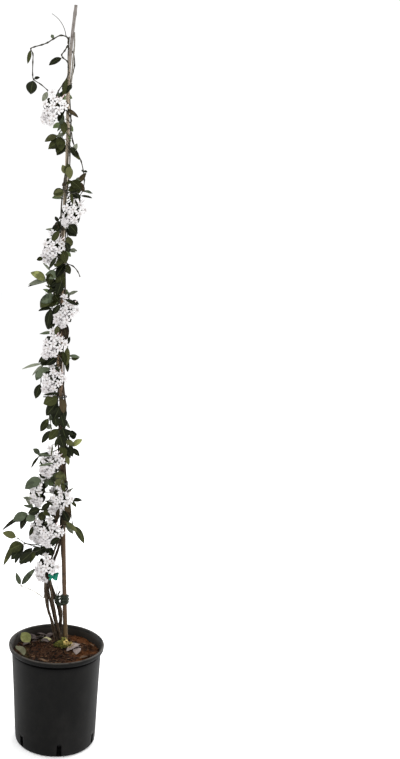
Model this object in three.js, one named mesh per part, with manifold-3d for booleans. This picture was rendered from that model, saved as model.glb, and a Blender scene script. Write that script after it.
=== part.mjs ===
// A potted star jasmine trained up a bamboo cane: pot, soil, cane, twining stems, ties, leafy
// shoots, flower clusters and a few fallen leaves.
// Millimetres, +Z up. The origin is the centre of the pot's flat base, and -Y is the front.
import * as THREE from "three";
import { mergeVertices } from "three/addons/utils/BufferGeometryUtils.js";
import Module from "manifold-3d";

const wasm = await Module();
wasm.setup();

// ---------------------------------------------------------------- driving dimensions
const GAP = 0.35; // between neighbours that touch

const POT_HEIGHT = 266;
const POT_RIM_R = 125;
const POT_BODY_TOP_R = 117;
const POT_BODY_LOW_R = 107;
const POT_BASE_R = 100;
const POT_WALL = 2.5;
const POT_LIP_HEIGHT = 14;
const POT_CORNER_HEIGHT = 30;
const POT_SEGMENTS = 27;
const SLOT_COUNT = 6;
const SLOT_WIDTH = 8;
const SLOT_HEIGHT = 26;
const SLOT_FIRST_ANGLE = -84; // degrees round +Z from +X: the front is -90

const SOIL_LEVEL = 241;
const MOUND_HEIGHT = 9; // the root ball stands a little proud
const MOUND_SPREAD = 34;
const PLANT_X = 16;
const PLANT_Y = 42;

const CANE_BASE_R = 6;
const CANE_TOP_R = 3.6;
const CANE_SIDES = 6;
const CANE_FOOT_Z = 60;
const CANE_TOP_Z = 1862;
const CANE_NODES = [880, 1842]; // heights of the rings that stand out most

const STEM_ROOT_Z = 196;
const TWINE_FROM_Z = 694;
const TWINE_TURN = 0.9; // degrees of turn for each millimetre of height
const TWINE_STEP = 40;

const BLADE_THICKNESS = 0.8;
const PETIOLE_R = 0.8;
const PETIOLE_SHARE = 0.14; // of a leaf's length
const SHOOT_BASE_R = 1.4;
const SHOOT_TIP_R = 0.8;

const FLOWER_R = 11;
const FLOWER_EYE_R = 4.2;
const FLOWER_SWIRL = 20; // degrees that each lobe is turned off its own axis

const CLEARANCE = 0.5; // kept by every blade and flower to its neighbours
const DEG = Math.PI / 180;

// ---------------------------------------------------------------- materials
const finish = (color, roughness) =>
  new THREE.MeshStandardMaterial({ color, roughness, metalness: 0 });
const POT_PLASTIC = finish(0x232527, 0.55);
const BARK_SOIL = finish(0x4a2d1d, 0.95);
const BAMBOO = finish(0x8a6f5a, 0.7);
const WOODY_STEM = finish(0x3f2c20, 0.85);
const LEAF_GREEN = finish(0x27361b, 0.4);
const PETAL_WHITE = finish(0xf1eff0, 0.6);
const TIE_GREEN = finish(0x33493a, 0.6);
const TIE_TEAL = finish(0x0f7a5c, 0.5);
const TIE_BLACK = finish(0x1c1f1e, 0.6);
const OLD_LEAF = finish(0x8b8a63, 0.8);

// ---------------------------------------------------------------- solids
const vec = (x, y, z) => new THREE.Vector3(x, y, z);

// A closed triangle list as a solid: flat triangles left by merged corners are dropped.
function solidFrom(positions, faces) {
  const kept = faces.filter(([a, b, c]) => a !== b && b !== c && a !== c);
  const mesh = new wasm.Mesh({
    numProp: 3,
    vertProperties: new Float32Array(positions.flatMap((p) => [p.x, p.y, p.z])),
    triVerts: new Uint32Array(kept.flat()),
  });
  return new wasm.Manifold(mesh);
}

function mergedSheet(geometry) {
  geometry.deleteAttribute("normal");
  geometry.deleteAttribute("uv");
  const merged = mergeVertices(geometry, 1e-4);
  const at = merged.attributes.position;
  const positions = [];
  for (let i = 0; i < at.count; i++) positions.push(vec(at.getX(i), at.getY(i), at.getZ(i)));
  const faces = [];
  for (let i = 0; i < merged.index.count; i += 3) faces.push([...merged.index.array.slice(i, i + 3)]);
  return { positions, faces };
}

function solidOf(geometry) {
  const { positions, faces } = mergedSheet(geometry);
  const solid = solidFrom(positions, faces);
  // A path that runs down turns its section over, and the faces with it.
  return solid.volume() > 0 ? solid : solidFrom(positions, faces.map(([a, b, c]) => [a, c, b]));
}

// A sheet thickened by one constant shift, so that both faces are split alike.
function thickened({ positions, faces }, shift) {
  const open = faces.filter(([a, b, c]) => a !== b && b !== c && a !== c);
  const count = positions.length;
  const half = shift.clone().multiplyScalar(0.5);
  const all = [
    ...positions.map((p) => p.clone().add(half)),
    ...positions.map((p) => p.clone().sub(half)),
  ];
  const edges = new Set(open.flatMap(([a, b, c]) => [`${a},${b}`, `${b},${c}`, `${c},${a}`]));
  const walls = [];
  for (const edge of edges) {
    const [a, b] = edge.split(",").map(Number);
    if (!edges.has(`${b},${a}`)) walls.push([b, a, a + count], [b, a + count, b + count]);
  }
  const under = open.map(([a, b, c]) => [a + count, c + count, b + count]);
  return solidFrom(all, [...open, ...under, ...walls]);
}

// A tapered tube along a curve through the given points.
function tube(points, radiusAt, sides, steps) {
  const path = new THREE.CatmullRomCurve3(points);
  const corners = [];
  for (let i = 0; i < sides; i++) {
    const angle = (2 * Math.PI * i) / sides;
    corners.push(new THREE.Vector2(Math.cos(angle), Math.sin(angle)));
  }
  const geometry = new THREE.ExtrudeGeometry(new THREE.Shape(corners), {
    steps,
    extrudePath: path,
    bevelEnabled: false,
  });
  const centres = path.getSpacedPoints(steps);
  const at = geometry.attributes.position;
  for (let i = 0; i < at.count; i++) {
    const p = vec(at.getX(i), at.getY(i), at.getZ(i));
    let ring = 0;
    centres.forEach((c, k) => {
      if (c.distanceToSquared(p) < centres[ring].distanceToSquared(p)) ring = k;
    });
    p.sub(centres[ring]).multiplyScalar(radiusAt(ring / steps)).add(centres[ring]);
    at.setXYZ(i, p.x, p.y, p.z);
  }
  return solidOf(geometry);
}

const fused = (solids) => solids.reduce((a, b) => a.add(b));

function geometryOf(solid) {
  const mesh = solid.getMesh();
  const geometry = new THREE.BufferGeometry();
  const n = mesh.numProp;
  const positions = new Float32Array(mesh.numVert * 3);
  for (let i = 0; i < mesh.numVert; i++) {
    positions.set(mesh.vertProperties.subarray(i * n, i * n + 3), i * 3);
  }
  geometry.setAttribute("position", new THREE.BufferAttribute(positions, 3));
  geometry.setIndex(new THREE.BufferAttribute(mesh.triVerts, 1));
  geometry.computeVertexNormals();
  return geometry;
}

const jasmine = new THREE.Group();
function addNode(name, solid, material) {
  const mesh = new THREE.Mesh(geometryOf(solid), material);
  mesh.name = name;
  jasmine.add(mesh);
}

// One stream of draws from a seed, the same on every run.
function randomStream(seed) {
  let state = seed >>> 0;
  return () => {
    state = (state + 0x6d2b79f5) >>> 0;
    let t = state;
    t = Math.imul(t ^ (t >>> 15), t | 1);
    t ^= t + Math.imul(t ^ (t >>> 7), t | 61);
    return ((t ^ (t >>> 14)) >>> 0) / 4294967296;
  };
}

// ---------------------------------------------------------------- what is already in place
// Every solid that a later blade or flower has to clear, with its owner's name and its box.
const placed = [];
const boxOf = (solid) => {
  const { min, max } = solid.boundingBox();
  return new THREE.Box3(vec(...min), vec(...max));
};
function place(owner, solid, isBlade = false) {
  placed.push({ owner, solid, isBlade, box: boxOf(solid) });
  return solid;
}

// A blade has to clear every other node, and the other blades of its own.
function isClear(owner, whole, blade) {
  const wholeBox = boxOf(whole);
  return placed.every((other) => {
    if (!other.box.intersectsBox(wholeBox)) return true;
    if (other.owner === owner && !other.isBlade) return true;
    const probe = other.owner === owner ? blade : whole;
    return probe.intersect(other.solid).volume() < 1e-4;
  });
}

// ---------------------------------------------------------------- pot
function slotCutter(angle) {
  const depth = 16;
  const box = new THREE.BoxGeometry(depth, SLOT_WIDTH, SLOT_HEIGHT + 2);
  box.translate(POT_BODY_LOW_R - depth / 2 + 3, 0, SLOT_HEIGHT / 2 - 1);
  box.rotateZ(angle * DEG);
  return solidOf(box);
}

function makePot() {
  const lipFoot = POT_HEIGHT - POT_LIP_HEIGHT;
  const innerTop = POT_BODY_TOP_R - POT_WALL;
  const innerLow = POT_BODY_LOW_R - POT_WALL;
  const profile = [
    [0, 0],
    [POT_BASE_R, 0],
    [POT_BASE_R + 5, 5],
    [POT_BODY_LOW_R, POT_CORNER_HEIGHT],
    [POT_BODY_TOP_R, lipFoot],
    [POT_RIM_R - 1.5, lipFoot + 2],
    [POT_RIM_R, POT_HEIGHT - 4],
    [POT_RIM_R - 2, POT_HEIGHT],
    [POT_RIM_R - 5, POT_HEIGHT],
    [innerTop + 2, POT_HEIGHT - 5],
    [innerTop, lipFoot - 4],
    [innerLow, POT_CORNER_HEIGHT],
    [POT_BASE_R - 2, POT_WALL],
    [0, POT_WALL],
  ].map(([r, z]) => new THREE.Vector2(r, z));
  const lathe = new THREE.LatheGeometry(profile, POT_SEGMENTS);
  lathe.rotateX(90 * DEG);
  let pot = solidOf(lathe);
  for (let i = 0; i < SLOT_COUNT; i++) {
    pot = pot.subtract(slotCutter(SLOT_FIRST_ANGLE + (i * 360) / SLOT_COUNT));
  }
  return pot;
}

// ---------------------------------------------------------------- soil
function soilHeight(x, y) {
  const fromPlant = (x - PLANT_X) ** 2 + (y - PLANT_Y) ** 2;
  const mound = MOUND_HEIGHT * Math.exp(-fromPlant / (2 * MOUND_SPREAD ** 2));
  const bumps =
    1.6 * Math.sin(x * 0.071 + 1.3) * Math.cos(y * 0.063) + 1.1 * Math.sin(x * 0.043 - y * 0.087 + 0.6);
  return SOIL_LEVEL + mound + bumps;
}

function makeSoil(cutters) {
  const wallAt = (z) => {
    const rise = (z - POT_CORNER_HEIGHT) / (POT_HEIGHT - POT_LIP_HEIGHT - 4 - POT_CORNER_HEIGHT);
    return POT_BODY_LOW_R + (POT_BODY_TOP_R - POT_BODY_LOW_R) * rise - POT_WALL - 1.1;
  };
  const topR = wallAt(SOIL_LEVEL);
  const profile = [
    [0, POT_WALL + GAP],
    [POT_BASE_R - 4, POT_WALL + GAP],
    [wallAt(POT_CORNER_HEIGHT), POT_CORNER_HEIGHT],
    [topR, SOIL_LEVEL],
    ...[0.8, 0.58, 0.38, 0.19].map((share) => [topR * share, SOIL_LEVEL]),
    [0, SOIL_LEVEL],
  ].map(([r, z]) => new THREE.Vector2(r, z));
  const lathe = new THREE.LatheGeometry(profile, 20);
  lathe.rotateX(90 * DEG);
  const at = lathe.attributes.position;
  for (let i = 0; i < at.count; i++) {
    if (at.getZ(i) > SOIL_LEVEL - 1) at.setZ(i, soilHeight(at.getX(i), at.getY(i)));
  }
  return cutters.reduce((soil, cutter) => soil.subtract(cutter), solidOf(lathe));
}

// ---------------------------------------------------------------- cane
// The cane bows to the left at mid height and leans forward from the back of the pot.
const CANE_POINTS = [
  [28, 52, 60],
  [24, 44, 250],
  [20.5, 38, 340],
  [15.6, 30, 470],
  [12.6, 22, 580],
  [6, 10, 760],
  [-2.7, 0, 1033],
  [-1.8, 0, 1320],
  [4.6, 0, 1480],
  [6.2, 0, 1570],
  [3.8, 0, 1650],
  [7.2, 0, 1735],
  [13, 0, 1800],
  [19.8, 0, 1862],
];

// The cane's centre at a height, from the straight runs between its points.
function caneAt(z) {
  const rows = CANE_POINTS;
  let i = 0;
  while (i < rows.length - 2 && rows[i + 1][2] < z) i++;
  const t = (z - rows[i][2]) / (rows[i + 1][2] - rows[i][2]);
  return vec(
    rows[i][0] + (rows[i + 1][0] - rows[i][0]) * t,
    rows[i][1] + (rows[i + 1][1] - rows[i][1]) * t,
    z,
  );
}
const caneRadius = (z) =>
  CANE_BASE_R + ((CANE_TOP_R - CANE_BASE_R) * (z - CANE_FOOT_Z)) / (CANE_TOP_Z - CANE_FOOT_Z);

function makeCane(grow) {
  const points = CANE_POINTS.map((p) => vec(...p));
  const radius = (share) => CANE_BASE_R + (CANE_TOP_R - CANE_BASE_R) * share + grow;
  return tube(points, radius, CANE_SIDES, 20);
}

function caneRing(z) {
  const height = 5;
  const ring = new THREE.CylinderGeometry(caneRadius(z) + 0.8, caneRadius(z) + 0.8, height, CANE_SIDES);
  ring.rotateX(90 * DEG);
  const low = caneAt(z - height);
  const along = caneAt(z + height).sub(low).normalize();
  ring.applyQuaternion(new THREE.Quaternion().setFromUnitVectors(vec(0, 0, 1), along));
  const centre = caneAt(z);
  ring.translate(centre.x, centre.y, centre.z);
  return solidOf(ring);
}

// ---------------------------------------------------------------- main stems
// Rows are height, distance from the cane's centre and direction in degrees (180 is left, 270 is
// the front). Below the first tie the stems bow out to the left of the cane in a loose bundle.
const STEMS = [
  {
    name: "stem_back",
    topZ: 1190,
    baseR: 3.2,
    startTurn: 90,
    rows: [
      [196, 15, 118],
      [250, 14.5, 128],
      [303, 15, 152],
      [335, 14.5, 166],
      [366, 24, 174],
      [405, 36, 174],
      [440, 39.5, 174],
      [488, 25, 171],
      [519, 13, 165],
      [550, 9.4, 156],
      [600, 9, 135],
      [650, 8.8, 110],
    ],
  },
  {
    name: "stem_left",
    topZ: 1450,
    baseR: 3.4,
    startTurn: 180,
    rows: [
      [196, 16, 166],
      [250, 17.5, 172],
      [303, 26, 178],
      [343, 33, 179],
      [389, 42, 178],
      [420, 46, 176],
      [440, 46.5, 175.5],
      [490, 41, 178],
      [545, 30, 180],
      [600, 18.5, 182],
      [650, 10.6, 181],
    ],
  },
  {
    name: "stem_outer",
    topZ: 1790,
    baseR: 3.6,
    startTurn: 270,
    rows: [
      [196, 17, 210],
      [250, 21, 204],
      [303, 33, 197],
      [343, 45, 192],
      [389, 50, 188],
      [420, 52, 186],
      [440, 47.5, 185],
      [490, 46, 190],
      [545, 33, 203],
      [600, 22, 224],
      [650, 12, 248],
    ],
  },
  {
    name: "stem_front",
    topZ: 1610,
    baseR: 3.0,
    startTurn: 360,
    rows: [
      [196, 18, 252],
      [250, 19.5, 240],
      [303, 26, 222],
      [343, 31, 213],
      [389, 36, 202],
      [440, 39.5, 186.5],
      [490, 34, 200],
      [545, 23, 236],
      [600, 14.5, 284],
      [650, 10, 326],
    ],
  },
];
const STEM_TOP_R = 1.5;
const STEM_SIDES = 4;
// Between two ties the stems stand off the cane a little.
const TWINE_GAP = 1.5; // between the cane and a stem at a point of its path
const LOOSE_FROM = 852;
const LOOSE_TO = 904;
const LOOSE_BY = 9;

const stemRadiusAt = (stem, z) =>
  stem.baseR + ((STEM_TOP_R - stem.baseR) * (z - STEM_ROOT_Z)) / (stem.topZ - STEM_ROOT_Z);

function polarPoint(z, distance, degrees) {
  const centre = caneAt(z);
  centre.x += distance * Math.cos(degrees * DEG);
  centre.y += distance * Math.sin(degrees * DEG);
  return centre;
}

function twinePoint(stem, z) {
  const loose = Math.min(Math.max((z - LOOSE_FROM) / (LOOSE_TO - LOOSE_FROM), 0), 1);
  const stand = caneRadius(z) + stemRadiusAt(stem, z) + TWINE_GAP + LOOSE_BY * Math.sin(Math.PI * loose) ** 2;
  return polarPoint(z, stand, stem.startTurn + (z - TWINE_FROM_Z) * TWINE_TURN);
}

function stemPoints(stem) {
  const points = stem.rows.map((row) => polarPoint(...row));
  for (let z = TWINE_FROM_Z; z < stem.topZ; z += TWINE_STEP) points.push(twinePoint(stem, z));
  points.push(twinePoint(stem, stem.topZ));
  return points;
}

const stemSteps = (stem) => Math.round((stem.topZ - STEM_ROOT_Z) / TWINE_STEP);

function makeStem(stem, grow) {
  const radius = (share) => stem.baseR + (STEM_TOP_R - stem.baseR) * share + grow;
  return tube(stemPoints(stem), radius, STEM_SIDES, stemSteps(stem));
}

// A stem's centre at a height, on the straight runs between its rings.
function stemAt(stem, z) {
  const centres = new THREE.CatmullRomCurve3(stemPoints(stem)).getSpacedPoints(stemSteps(stem));
  const next = Math.max(
    centres.findIndex((p) => p.z > z),
    1,
  );
  const [low, high] = [centres[next - 1], centres[next]];
  return low.clone().lerp(high, (z - low.z) / (high.z - low.z));
}

// ---------------------------------------------------------------- ties
function turnedRing(centre, profile, segments) {
  const closed = [...profile, profile[0]].map(([r, z]) => new THREE.Vector2(r, z));
  const ring = new THREE.LatheGeometry(closed, segments);
  ring.rotateX(90 * DEG);
  ring.translate(centre.x, centre.y, centre.z);
  return solidOf(ring);
}

function ringAt(centre, inner, outer, height) {
  const section = [
    [inner, -height / 2],
    [outer, -height / 2],
    [outer, height / 2],
    [inner, height / 2],
  ];
  return turnedRing(centre, section, 12);
}

function ballAt(centre, radius) {
  const ball = new THREE.IcosahedronGeometry(radius, 0);
  ball.translate(centre.x, centre.y, centre.z);
  return solidOf(ball);
}

function loopAt(centre, radius, wire, tilt) {
  const loop = new THREE.TorusGeometry(radius, wire, 3, 8);
  loop.scale(1, 0.55, 1);
  loop.rotateX(90 * DEG);
  loop.rotateY(tilt * DEG);
  loop.translate(centre.x, centre.y, centre.z);
  return solidOf(loop);
}

const TIE_SLACK = 1.2; // a tie's sides are flat, so its corners stand off by this much

// Outside of the stems where they lie tight on the cane.
function bundleRadius(z) {
  const fattest = Math.max(...STEMS.filter((s) => s.topZ > z).map((s) => stemRadiusAt(s, z)));
  return caneRadius(z) + 2 * fattest + TWINE_GAP;
}

// Soft ties wound round the cane and the stems.
function makeWrap(z, height, extra) {
  const inner = bundleRadius(z) + TIE_SLACK;
  return ringAt(caneAt(z), inner, inner + extra, height);
}

function makeTies() {
  const softZ = 372;
  const softInner = caneRadius(softZ) + TIE_SLACK;
  const softProfile = [
    [softInner, -13],
    [softInner + 4.5, -12],
    [softInner + 6, -7],
    [softInner + 4.5, -4],
    [softInner + 7, 0],
    [softInner + 4.5, 4],
    [softInner + 6, 8],
    [softInner + 4, 13],
    [softInner, 13],
  ];
  const soft = turnedRing(caneAt(softZ), softProfile, 12);
  const ribbonZ = 440;
  const bundle = polarPoint(ribbonZ, 43.2, 180);
  const knot = bundle.clone().add(vec(13, -8, 0));
  const ribbon = fused([
    ringAt(bundle, 11, 12.6, 7),
    ballAt(knot, 5),
    loopAt(knot.clone().add(vec(-6, -3, 4)), 7, 1.5, 25),
    loopAt(knot.clone().add(vec(6, -3, 4)), 7, 1.5, -25),
    tube([knot, knot.clone().add(vec(5, -4, -4)), knot.clone().add(vec(8, -4, -10))], () => 1.3, 3, 2),
    tube([knot, knot.clone().add(vec(-4, -4, -5)), knot.clone().add(vec(-9, -5, -9))], () => 1.3, 3, 2),
  ]);
  const blackZ = 922;
  const ringR = bundleRadius(blackZ) + TIE_SLACK + GAP;
  const tailFoot = caneAt(blackZ).add(vec(-ringR - 0.6, -2, 0));
  const tailBend = tailFoot.clone().add(vec(-14, -6, 1));
  const black = fused([
    ringAt(caneAt(blackZ), ringR, ringR + 1.3, 3),
    tube([tailFoot, tailBend, tailBend.clone().add(vec(-18, -2, -2))], () => 0.9, 3, 3),
  ]);
  return [
    ["tie_soft", soft, TIE_GREEN],
    ["tie_ribbon", ribbon, TIE_TEAL],
    ["tie_band_low", makeWrap(694, 8, 1.5), TIE_GREEN],
    ["tie_band_high", makeWrap(826, 20, 1.6), TIE_GREEN],
    ["tie_black", black, TIE_BLACK],
  ];
}

// ---------------------------------------------------------------- leafy shoots
// A shoot leaves a main stem at the height `from` and runs through `path`. A leaf is the number of
// the path point that it grows from, its tip, and its width.
const SHOOTS = [
  {
    name: "shoot_top_left",
    from: 1774,
    path: [[2, -4, 1786], [-14, -10, 1791], [-32, -14, 1782], [-46, -16, 1773], [-59, -16, 1768],
      [-77, -15, 1763], [-85, -15, 1759], [-80, -15, 1747], [-80, -14, 1729], [-80, -13, 1699],
      [-78, -12, 1690], [-60, -12, 1678], [-43, -14, 1664]],
    tip: [[-3, 6, 1794], [-4, 7, 1800], [-10, 8, 1816], [-22, 8, 1832], [-37, 7, 1843]],
    leaves: [[2, -37, -13, 1792, 8], [6, -92, -17, 1724, 9], [10, -84, -12, 1655, 26],
      [10, -63, -10, 1694, 9], [12, -56, -16, 1637, 12]],
  },
  {
    name: "shoot_top_middle",
    from: 1770,
    path: [[0, -9, 1765], [-5, -12, 1756], [-12, -14, 1746], [-9, -14, 1740], [2, -12, 1731],
      [4, -11, 1719], [4, -11, 1701], [-7, -12, 1681], [-18, -14, 1664], [-25, -16, 1650]],
    leaves: [[3, -42, -18, 1721, 16], [6, -6, -14, 1644, 16], [8, -20, -12, 1641, 9]],
  },
  {
    name: "shoot_top_right",
    from: 1767,
    path: [[15, 6, 1755], [19, 7, 1725], [16, 7, 1710], [12, 6, 1689]],
    leaves: [[3, 2, 8, 1667, 14]],
  },
  {
    name: "shoot_upper_a",
    from: 1627,
    path: [[-2, -10, 1623], [-8, -14, 1615], [-6, -15, 1599]],
    leaves: [[0, 30, -14, 1603, 11], [1, -12, -20, 1583, 13], [2, -3, -19, 1562, 16]],
  },
  {
    name: "shoot_upper_b",
    from: 1578,
    path: [[-8, -11, 1574], [-16, -15, 1562], [-8, -14, 1543]],
    leaves: [[1, -49, -20, 1545, 16], [1, -9, -24, 1524, 23], [2, -41, -12, 1528, 17],
      [2, -20, -18, 1517, 15]],
  },
  {
    name: "shoot_upper_c",
    from: 1534,
    path: [[16, -6, 1525], [21, -6, 1520]],
    leaves: [[1, 29, -8, 1543, 13], [1, 35, -8, 1504, 11]],
  },
  {
    name: "shoot_upper_d",
    from: 1432,
    path: [[1, -11, 1432], [3, -12, 1449], [5, -14, 1468]],
    leaves: [[2, -6, -16, 1492, 14], [2, 13, -18, 1494, 18], [1, 17, -18, 1449, 14],
      [1, -6, -14, 1442, 8], [0, -27, -12, 1422, 21]],
  },
  {
    name: "shoot_arc_right",
    from: 1571,
    path: [[18, 3, 1549], [31, 1, 1519], [39, -1, 1502], [45, -3, 1478], [48, -5, 1457],
      [44, -8, 1431], [37, -10, 1419]],
    leaves: [[3, 40, -8, 1478, 7], [3, 55, -4, 1476, 7], [4, 26, -10, 1458, 11],
      [5, 8, -20, 1431, 27], [5, 69, -6, 1425, 8], [6, 68, -12, 1414, 7], [6, 7, -16, 1412, 14]],
  },
  {
    name: "shoot_mid_a",
    from: 1370,
    path: [[-9, -11, 1367], [-15, -15, 1356], [-18, -15, 1336]],
    leaves: [[1, -22, -18, 1369, 9], [1, -22, -10, 1328, 15], [2, -44, -15, 1338, 5],
      [2, -31, -18, 1312, 10]],
  },
  {
    name: "shoot_mid_b",
    from: 1342,
    path: [[6, -10, 1336], [11, -11, 1313], [15, -11, 1291]],
    leaves: [[0, 34, -16, 1329, 30], [2, 10, -16, 1322, 20], [2, 34, -10, 1286, 8]],
  },
  {
    name: "shoot_mid_c",
    from: 1284,
    path: [[3, -10, 1272], [8, -12, 1257], [24, -14, 1250], [36, -14, 1237], [42, -14, 1224]],
    leaves: [[0, -14, -18, 1245, 22], [1, -16, -22, 1222, 21]],
  },
  {
    name: "shoot_mid_d",
    from: 1254,
    path: [[-13, -11, 1247], [-29, -15, 1235], [-38, -17, 1213]],
    leaves: [[0, 0, -16, 1190, 24], [1, -50, -15, 1257, 6], [1, -35, -24, 1202, 17],
      [2, -79, -26, 1233, 23], [2, -85, -17, 1198, 10]],
  },
  {
    name: "shoot_mid_e",
    from: 1196,
    path: [[-14, -11, 1188], [-22, -15, 1181], [-25, -14, 1151]],
    leaves: [[0, -43, -16, 1201, 8], [1, -54, -22, 1147, 26], [1, -9, -22, 1163, 22],
      [2, -59, -14, 1138, 9], [2, -36, -15, 1094, 20]],
  },
  {
    name: "shoot_mid_f",
    from: 1171,
    path: [[12, -6, 1177], [19, -8, 1164]],
    leaves: [[0, 38, -12, 1189, 9], [1, 41, -12, 1156, 13], [1, 28, -16, 1145, 11]],
  },
  {
    name: "shoot_mid_g",
    from: 1112,
    path: [[-7, -10, 1107], [-22, -12, 1087]],
    leaves: [[0, -17, -17, 1075, 13], [1, -54, -13, 1081, 7]],
  },
  {
    name: "shoot_mid_h",
    from: 1122,
    path: [[9, -7, 1114], [15, -8, 1087], [15, -7, 1054], [15, -9, 1027]],
    leaves: [[0, 11, -14, 1066, 18], [2, 20, -9, 1076, 7], [2, 14, -13, 1002, 15],
      [3, 46, -9, 1024, 9], [3, 16, -8, 986, 11]],
  },
  {
    name: "shoot_mid_i",
    from: 1024,
    path: [[-21, -11, 1020], [-40, -13, 1008], [-49, -14, 996], [-50, -11, 960]],
    leaves: [[0, -52, -21, 1006, 23], [1, -98, -12, 992, 8], [1, -72, -9, 976, 7],
      [2, -67, -16, 968, 16], [3, -63, -11, 918, 18]],
  },
  {
    name: "shoot_low_a",
    from: 922,
    path: [[-27, -16, 919], [-32, -17, 896], [-27, -16, 873], [-22, -11, 841]],
    leaves: [[1, -26, -15, 884, 17], [2, -50, -7, 833, 17], [3, -46, -5, 803, 14],
      [3, -34, -9, 851, 14]],
  },
  {
    name: "shoot_low_b",
    from: 884,
    path: [[-11, -20, 884], [4, -21, 874]],
    leaves: [[0, -10, -18, 847, 21], [1, 6, -21, 846, 20], [1, 24, -13, 844, 8]],
  },
  {
    name: "shoot_low_c",
    from: 790,
    path: [[22, -4, 820], [24, -1, 806], [29, 0, 792]],
    leaves: [[0, 42, -4, 828, 24], [2, 56, -3, 814, 16], [2, 50, -2, 770, 16],
      [1, 32, -4, 768, 13]],
  },
  {
    name: "shoot_low_d",
    from: 785,
    path: [[-15, -2, 781], [-31, -5, 776], [-49, -5, 772]],
    leaves: [[1, -52, -6, 748, 7], [0, -54, -2, 759, 8], [2, -68, -6, 788, 14],
      [2, -72, -3, 737, 7]],
  },
  {
    name: "shoot_low_e",
    from: 737,
    path: [[-1, -1, 736], [-14, -2, 722], [-31, -3, 715], [-57, -3, 712]],
    leaves: [[0, 3, -6, 694, 26], [3, -87, -2, 689, 13], [3, -76, 1, 661, 10],
      [2, -34, 3, 683, 13]],
  },
  {
    name: "shoot_low_right",
    from: 692,
    path: [[23, 10, 675], [28, 9, 651], [31, 11, 621], [36, 13, 586]],
    leaves: [[1, 60, 6, 652, 11], [1, 45, 4, 634, 9], [2, 21, 9, 587, 13], [3, 67, 13, 534, 18]],
  },
  {
    name: "shoot_low_left",
    from: 630,
    path: [[-17, 13, 626], [-43, 16, 621], [-64, 17, 623], [-77, 18, 614]],
    leaves: [[2, -88, 13, 655, 9], [3, -118, 14, 590, 23], [3, -98, 18, 567, 18],
      [3, -148, 19, 562, 11], [1, -43, 13, 590, 20]],
  },
  {
    name: "shoot_spray_left",
    from: 542,
    path: [[-34, 22, 528], [-42, 28, 518], [-63, 26, 520], [-85, 24, 528], [-106, 22, 543]],
    leaves: [[4, -145, 20, 557, 20], [3, -129, 20, 500, 24], [4, -138, 28, 468, 13],
      [3, -113, 32, 469, 14], [2, -98, 24, 469, 24], [1, -74, 30, 469, 8], [1, -16, 21, 505, 21],
      [2, -52, 20, 495, 20]],
  },
  {
    name: "shoot_inner_left",
    from: 597,
    path: [[-17, 19, 599], [-31, 18, 596]],
    leaves: [[0, 0, 16, 573, 21], [1, -52, 24, 585, 18], [1, -29, 26, 559, 20],
      [0, -7, 11, 629, 18]],
  },
  {
    name: "shoot_twig_left",
    from: 374,
    path: [[-35, 30, 378], [-52, 27, 390], [-72, 25, 402], [-96, 24, 411]],
    leaves: [[3, -109, 23, 448, 12], [3, -58, 14, 464, 20]],
  },
];

// Shoots at the back carry pairs of leaves by a rule: heights of their first and last pair,
// and how far the shoot stands to the side of the cane.
const BACK_SHOOTS = [
  { name: "shoot_back_top", foot: 1530, head: 1650, pairs: 3, seed: 11, aside: -12 },
  { name: "shoot_back_high", foot: 1285, head: 1410, pairs: 3, seed: 12, aside: 0 },
  { name: "shoot_back_middle", foot: 1050, head: 1175, pairs: 3, seed: 13, aside: -22 },
  { name: "shoot_back_low", foot: 560, head: 735, pairs: 3, seed: 14, aside: 0 },
];
const BACK_STAND = 20; // how far a back shoot stands behind the cane
const LEAF_LENGTH = 42;
const LEAF_WIDTH = 18;

function backShoot({ name, foot, head, pairs, seed, aside }) {
  const draw = randomStream(seed);
  const path = [];
  const leaves = [];
  for (let i = 0; i < pairs; i++) {
    const z = foot + ((head - foot) * i) / (pairs - 1);
    const node = caneAt(z).add(vec(aside + 8 * (draw() - 0.5), BACK_STAND + 6 * draw(), 0));
    path.push([node.x, node.y, node.z]);
    for (const side of [-1, 1]) {
      const turn = (90 + side * (24 + 34 * draw())) * DEG;
      const slope = (0.5 - 1.1 * draw()) * 0.9;
      const size = 0.8 + 0.4 * draw();
      const reach = vec(Math.cos(turn), Math.sin(turn), slope).normalize();
      reach.multiplyScalar(LEAF_LENGTH * size);
      const tip = node.clone().add(reach);
      leaves.push([i, tip.x, tip.y, tip.z, LEAF_WIDTH * size]);
    }
  }
  return { name, from: foot - 20, path, leaves, back: true };
}

// Half outlines from base to tip: share of the blade's length, share of the half width.
const WIDE_BLADE = [
  [0.3, 0.97],
  [0.68, 0.8],
];
const NARROW_BLADE = [[0.45, 1]];
const NARROW_BELOW = 17; // blades narrower than this have one station less
const SMALL_BELOW = 12; // the smallest blades reach their shoot without a petiole
const BLADE_ARCH = 0.08; // rise of the midrib between base and tip, as a share of its length

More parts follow.
